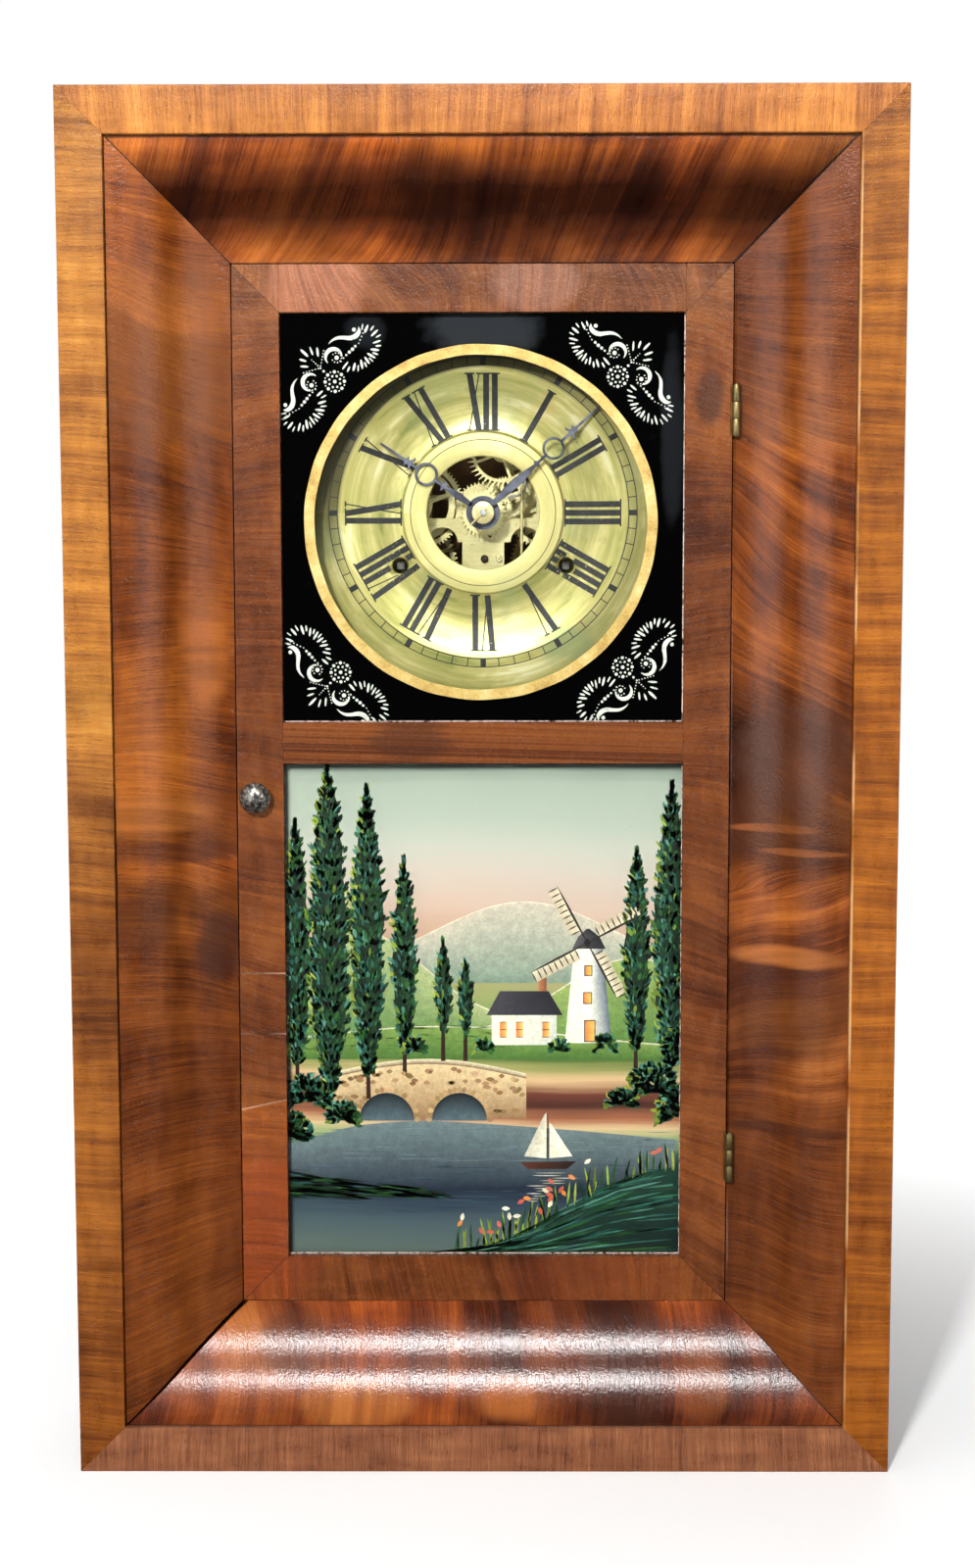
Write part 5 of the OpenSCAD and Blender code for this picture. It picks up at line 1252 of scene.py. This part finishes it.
hand("minute_hand_filed", (1.52, 5.8), (-15.4, -14.6), (
    [(1.0, 4.4), (1.5, 9), (2.1, 17), (2.3, 22.5), (1.7, 27.5), (0.85, 33), (0.75, 34.2), (1.6, 34.6),
     (1.6, 35.8), (0.7, 36.3), (0.7, 41.2)],
    [(0.7, 51.2)] + leaf_pair(56.6) + [(0.62, 68), (0.5, 76.6), (0, 77.8)],
), [(46.2, 5.5, 1.25)], 48, "minute_body")
hand("hour_hand_filed", (3.02, 8.2), (-12.2, -11.4), (
    [(1.0, 6.6), (1.6, 12), (1.75, 15.5), (1.3, 19), (0.75, 22.2), (2.6, 22.7), (2.6, 23.7), (0.75, 24.1),
     (0.75, 28.2)],
    [(0.75, 38.6)] + leaf_pair(41.6) + [(0.65, 52), (0.5, 59.6), (0, 60.6)],
), [(33.4, 5.7, 1.3)], 304, "hour_body")
bright_brass = brass("washer_brass", (206, 184, 124), (240, 226, 170), 0.3, tarnish=0.2, metallic=0.5)
dress(bright_brass, "hand_washer")

# The movement: stamped plates and wheels of rolled brass, steel arbors, pillars pinned in front.
plate_brass = brass(
    "plate_brass", (196, 184, 122), (238, 228, 174), 0.4, brush=(0.08, 1, 1), tarnish=0.5, metallic=0.4)
dress(plate_brass, "front_plate", "back_plate", ease=0.1)
for name, spot, size, finish, slot in (
    ("plate_screw", (0.6, 443.8), 1.9, old_iron, "iron"),
    ("plate_stud", (7.5, 444.8), 1.5, plate_brass, "brass_sheet"),
    ("stop_pin", (3.3, 455.0), 0.8, old_iron, "iron"),
    ("plate_rivet", (-12.2, 439.5), 1.1, plate_brass, "brass_sheet"),
):
    head = [(0, 5.9), (size * 0.7, 6.0), (size, 6.5), (size, 8.05), (0, 8.05)]
    piece(name, turned(head, 24, spot), finish)
wheel_brass = brass("wheel_brass", (224, 206, 140), (252, 244, 190), 0.38, tarnish=0.25, metallic=0.2)
dress(wheel_brass, "centre_wheel", "minute_wheel", "hour_wheel", "count_wheel", "escape_wheel")
for train in ("time_", "strike_"):
    dress(wheel_brass, train + "great_wheel", train + "second_wheel", train + "third_wheel")
drawn_steel = dull_metal("drawn_steel", (146, 146, 148), (214, 216, 222), 0.36, 0.6, 300, 0.02)
dress(drawn_steel, "verge_and_crutch", "minute_arbor", "plate_pillars", "strike_lever", "hammer",
      "strike_fly", "movement_cocks")
dress(bright_brass, "pendulum")

# Each train's drum is turned from brass and driven on to a steel arbor, squared for the key.
drum = Finish("drum_metal")
off_axis = (abs(abs(drum.x) - drum_x * mm) ** 2 + (drum.z - drum_z * mm) ** 2) ** 0.5
of_brass = off_axis.rise(2.7 * mm, 2.9 * mm)
handled = drum.noise(260, 4, 0.6)
arbor_tint = drum.ramp(handled, (0.35, 70, 66, 62), (0.65, 128, 126, 124))
drum_tint = drum.mix(of_brass, arbor_tint, drum.ramp(handled, (0.35, 176, 158, 98), (0.65, 232, 216, 154)))
drum_metal = drum.done(drum_tint, handled * 0.2 + 0.26, handled, 0.03, metallic=0.85 - of_brass * 0.55)
dress(drum_metal, "strike_drum", "time_drum")

# The strike's gong: a coil of blued steel wire on an iron post.
dress(dull_metal("gong_steel", (44, 50, 62), (86, 92, 104), 0.35, 1.0, 200, 0.04), "gong")

# The weights hang from cords over boxwood pulleys, under caps folded from tinplate.
tinplate = dull_metal("tinplate", (104, 100, 92), (158, 154, 146), 0.4, 1.0, 120, 0.05)
dress(tinplate, "pulley_covers", ease=0.2)
turned_wood = pine("turned_boxwood", (112, 74, 40), (164, 120, 72), (192, 150, 98), gloss=0.5)
dress(turned_wood, "pulley_right", "pulley_left")
cast_iron = dull_metal("cast_iron", (20, 19, 18), (52, 48, 44), 0.65, 0.6, 300, 0.5)
dress(cast_iron, "time_weight", "strike_weight", ease=1.0)

cotton = Finish("twisted_cotton")
fuzz = cotton.noise(2400, 3, 0.7)
cotton_cord = cotton.done(cotton.ramp(fuzz, (0.3, 134, 112, 74), (0.6, 188, 166, 120)), 0.85, fuzz, 0.08)


def poly_curve(name, dimensions, count):
    """A curve of so many points in straight steps, and the object which holds it."""
    curve = bpy.data.curves.new(name, "CURVE")
    curve.dimensions = dimensions
    line = curve.splines.new("POLY")
    line.points.add(count - 1)
    holder = bpy.data.objects.new(name, curve)
    scene.collection.objects.link(holder)
    return line, holder


def cord_piece(name, points, node):
    """Three strands twisted into one cord along a path, in millimetres."""
    outline, section = poly_curve(name + "_section", "2D", 18)
    for i, point in enumerate(outline.points):
        a = math.tau * i / 18
        radius = (0.78 + 0.22 * abs(math.cos(1.5 * a))) * mm
        point.co = (radius * math.cos(a), radius * math.sin(a), 0, 1)
    outline.use_cyclic_u = True
    path, strand = poly_curve(name, "3D", len(points))
    strand.data.bevel_mode = "OBJECT"
    strand.data.bevel_object = section
    strand.data.use_fill_caps = True
    gone, last, turn_length = 0.0, points[0], 9
    for point, spot in zip(path.points, points):
        gone += math.dist(spot, last)
        last = spot
        point.co = (*(v * mm for v in spot), 1)
        point.tilt = gone * math.tau / turn_length
    shape = bmesh.new()
    shape.from_mesh(worked_out(strand))
    bpy.data.objects.remove(strand)
    bpy.data.objects.remove(section)
    made = piece(name, shape, cotton_cord, sharp=80)
    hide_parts(node)
    return made


cord_y, drum_cord, pulley_at, pulley_cord = 25.2, 13.85, (144.0, 654.4), 13.1
riser = -19.255
for side, sign in (("right", 1), ("left", -1)):
    route = []
    for centre, radius, start, stop in (
        ((drum_x, drum_z), drum_cord, riser - 250, riser), (pulley_at, pulley_cord, riser + 180, 0),
    ):
        for i in range(61):
            out = ray(start + (stop - start) * i / 60, radius)
            spot = (sign * (centre[0] + out.real), cord_y, centre[1] + out.imag)
            if route and math.dist(route[-1], spot) > 20:
                begin, far_off = Vector(route[-1]), math.dist(route[-1], spot)
                steps = int(far_off)
                route += [tuple(begin.lerp(spot, j / steps)) for j in range(1, steps)]
            route.append(spot)
    cord_piece("cord_riser_" + side, route, "cord_risers")
fall_x, fall_low, fall_high = 157.1, 176, 654.4
for side, sign, joint_name in (("right", 1, "time_weight_lift"), ("left", -1, "strike_weight_lift")):
    line = [(sign * fall_x, cord_y, fall_low + (fall_high - fall_low) * i / 479) for i in range(480)]
    fall = cord_piece("cord_fall_line_" + side, line, "cord_fall_" + side)
    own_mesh(fall)
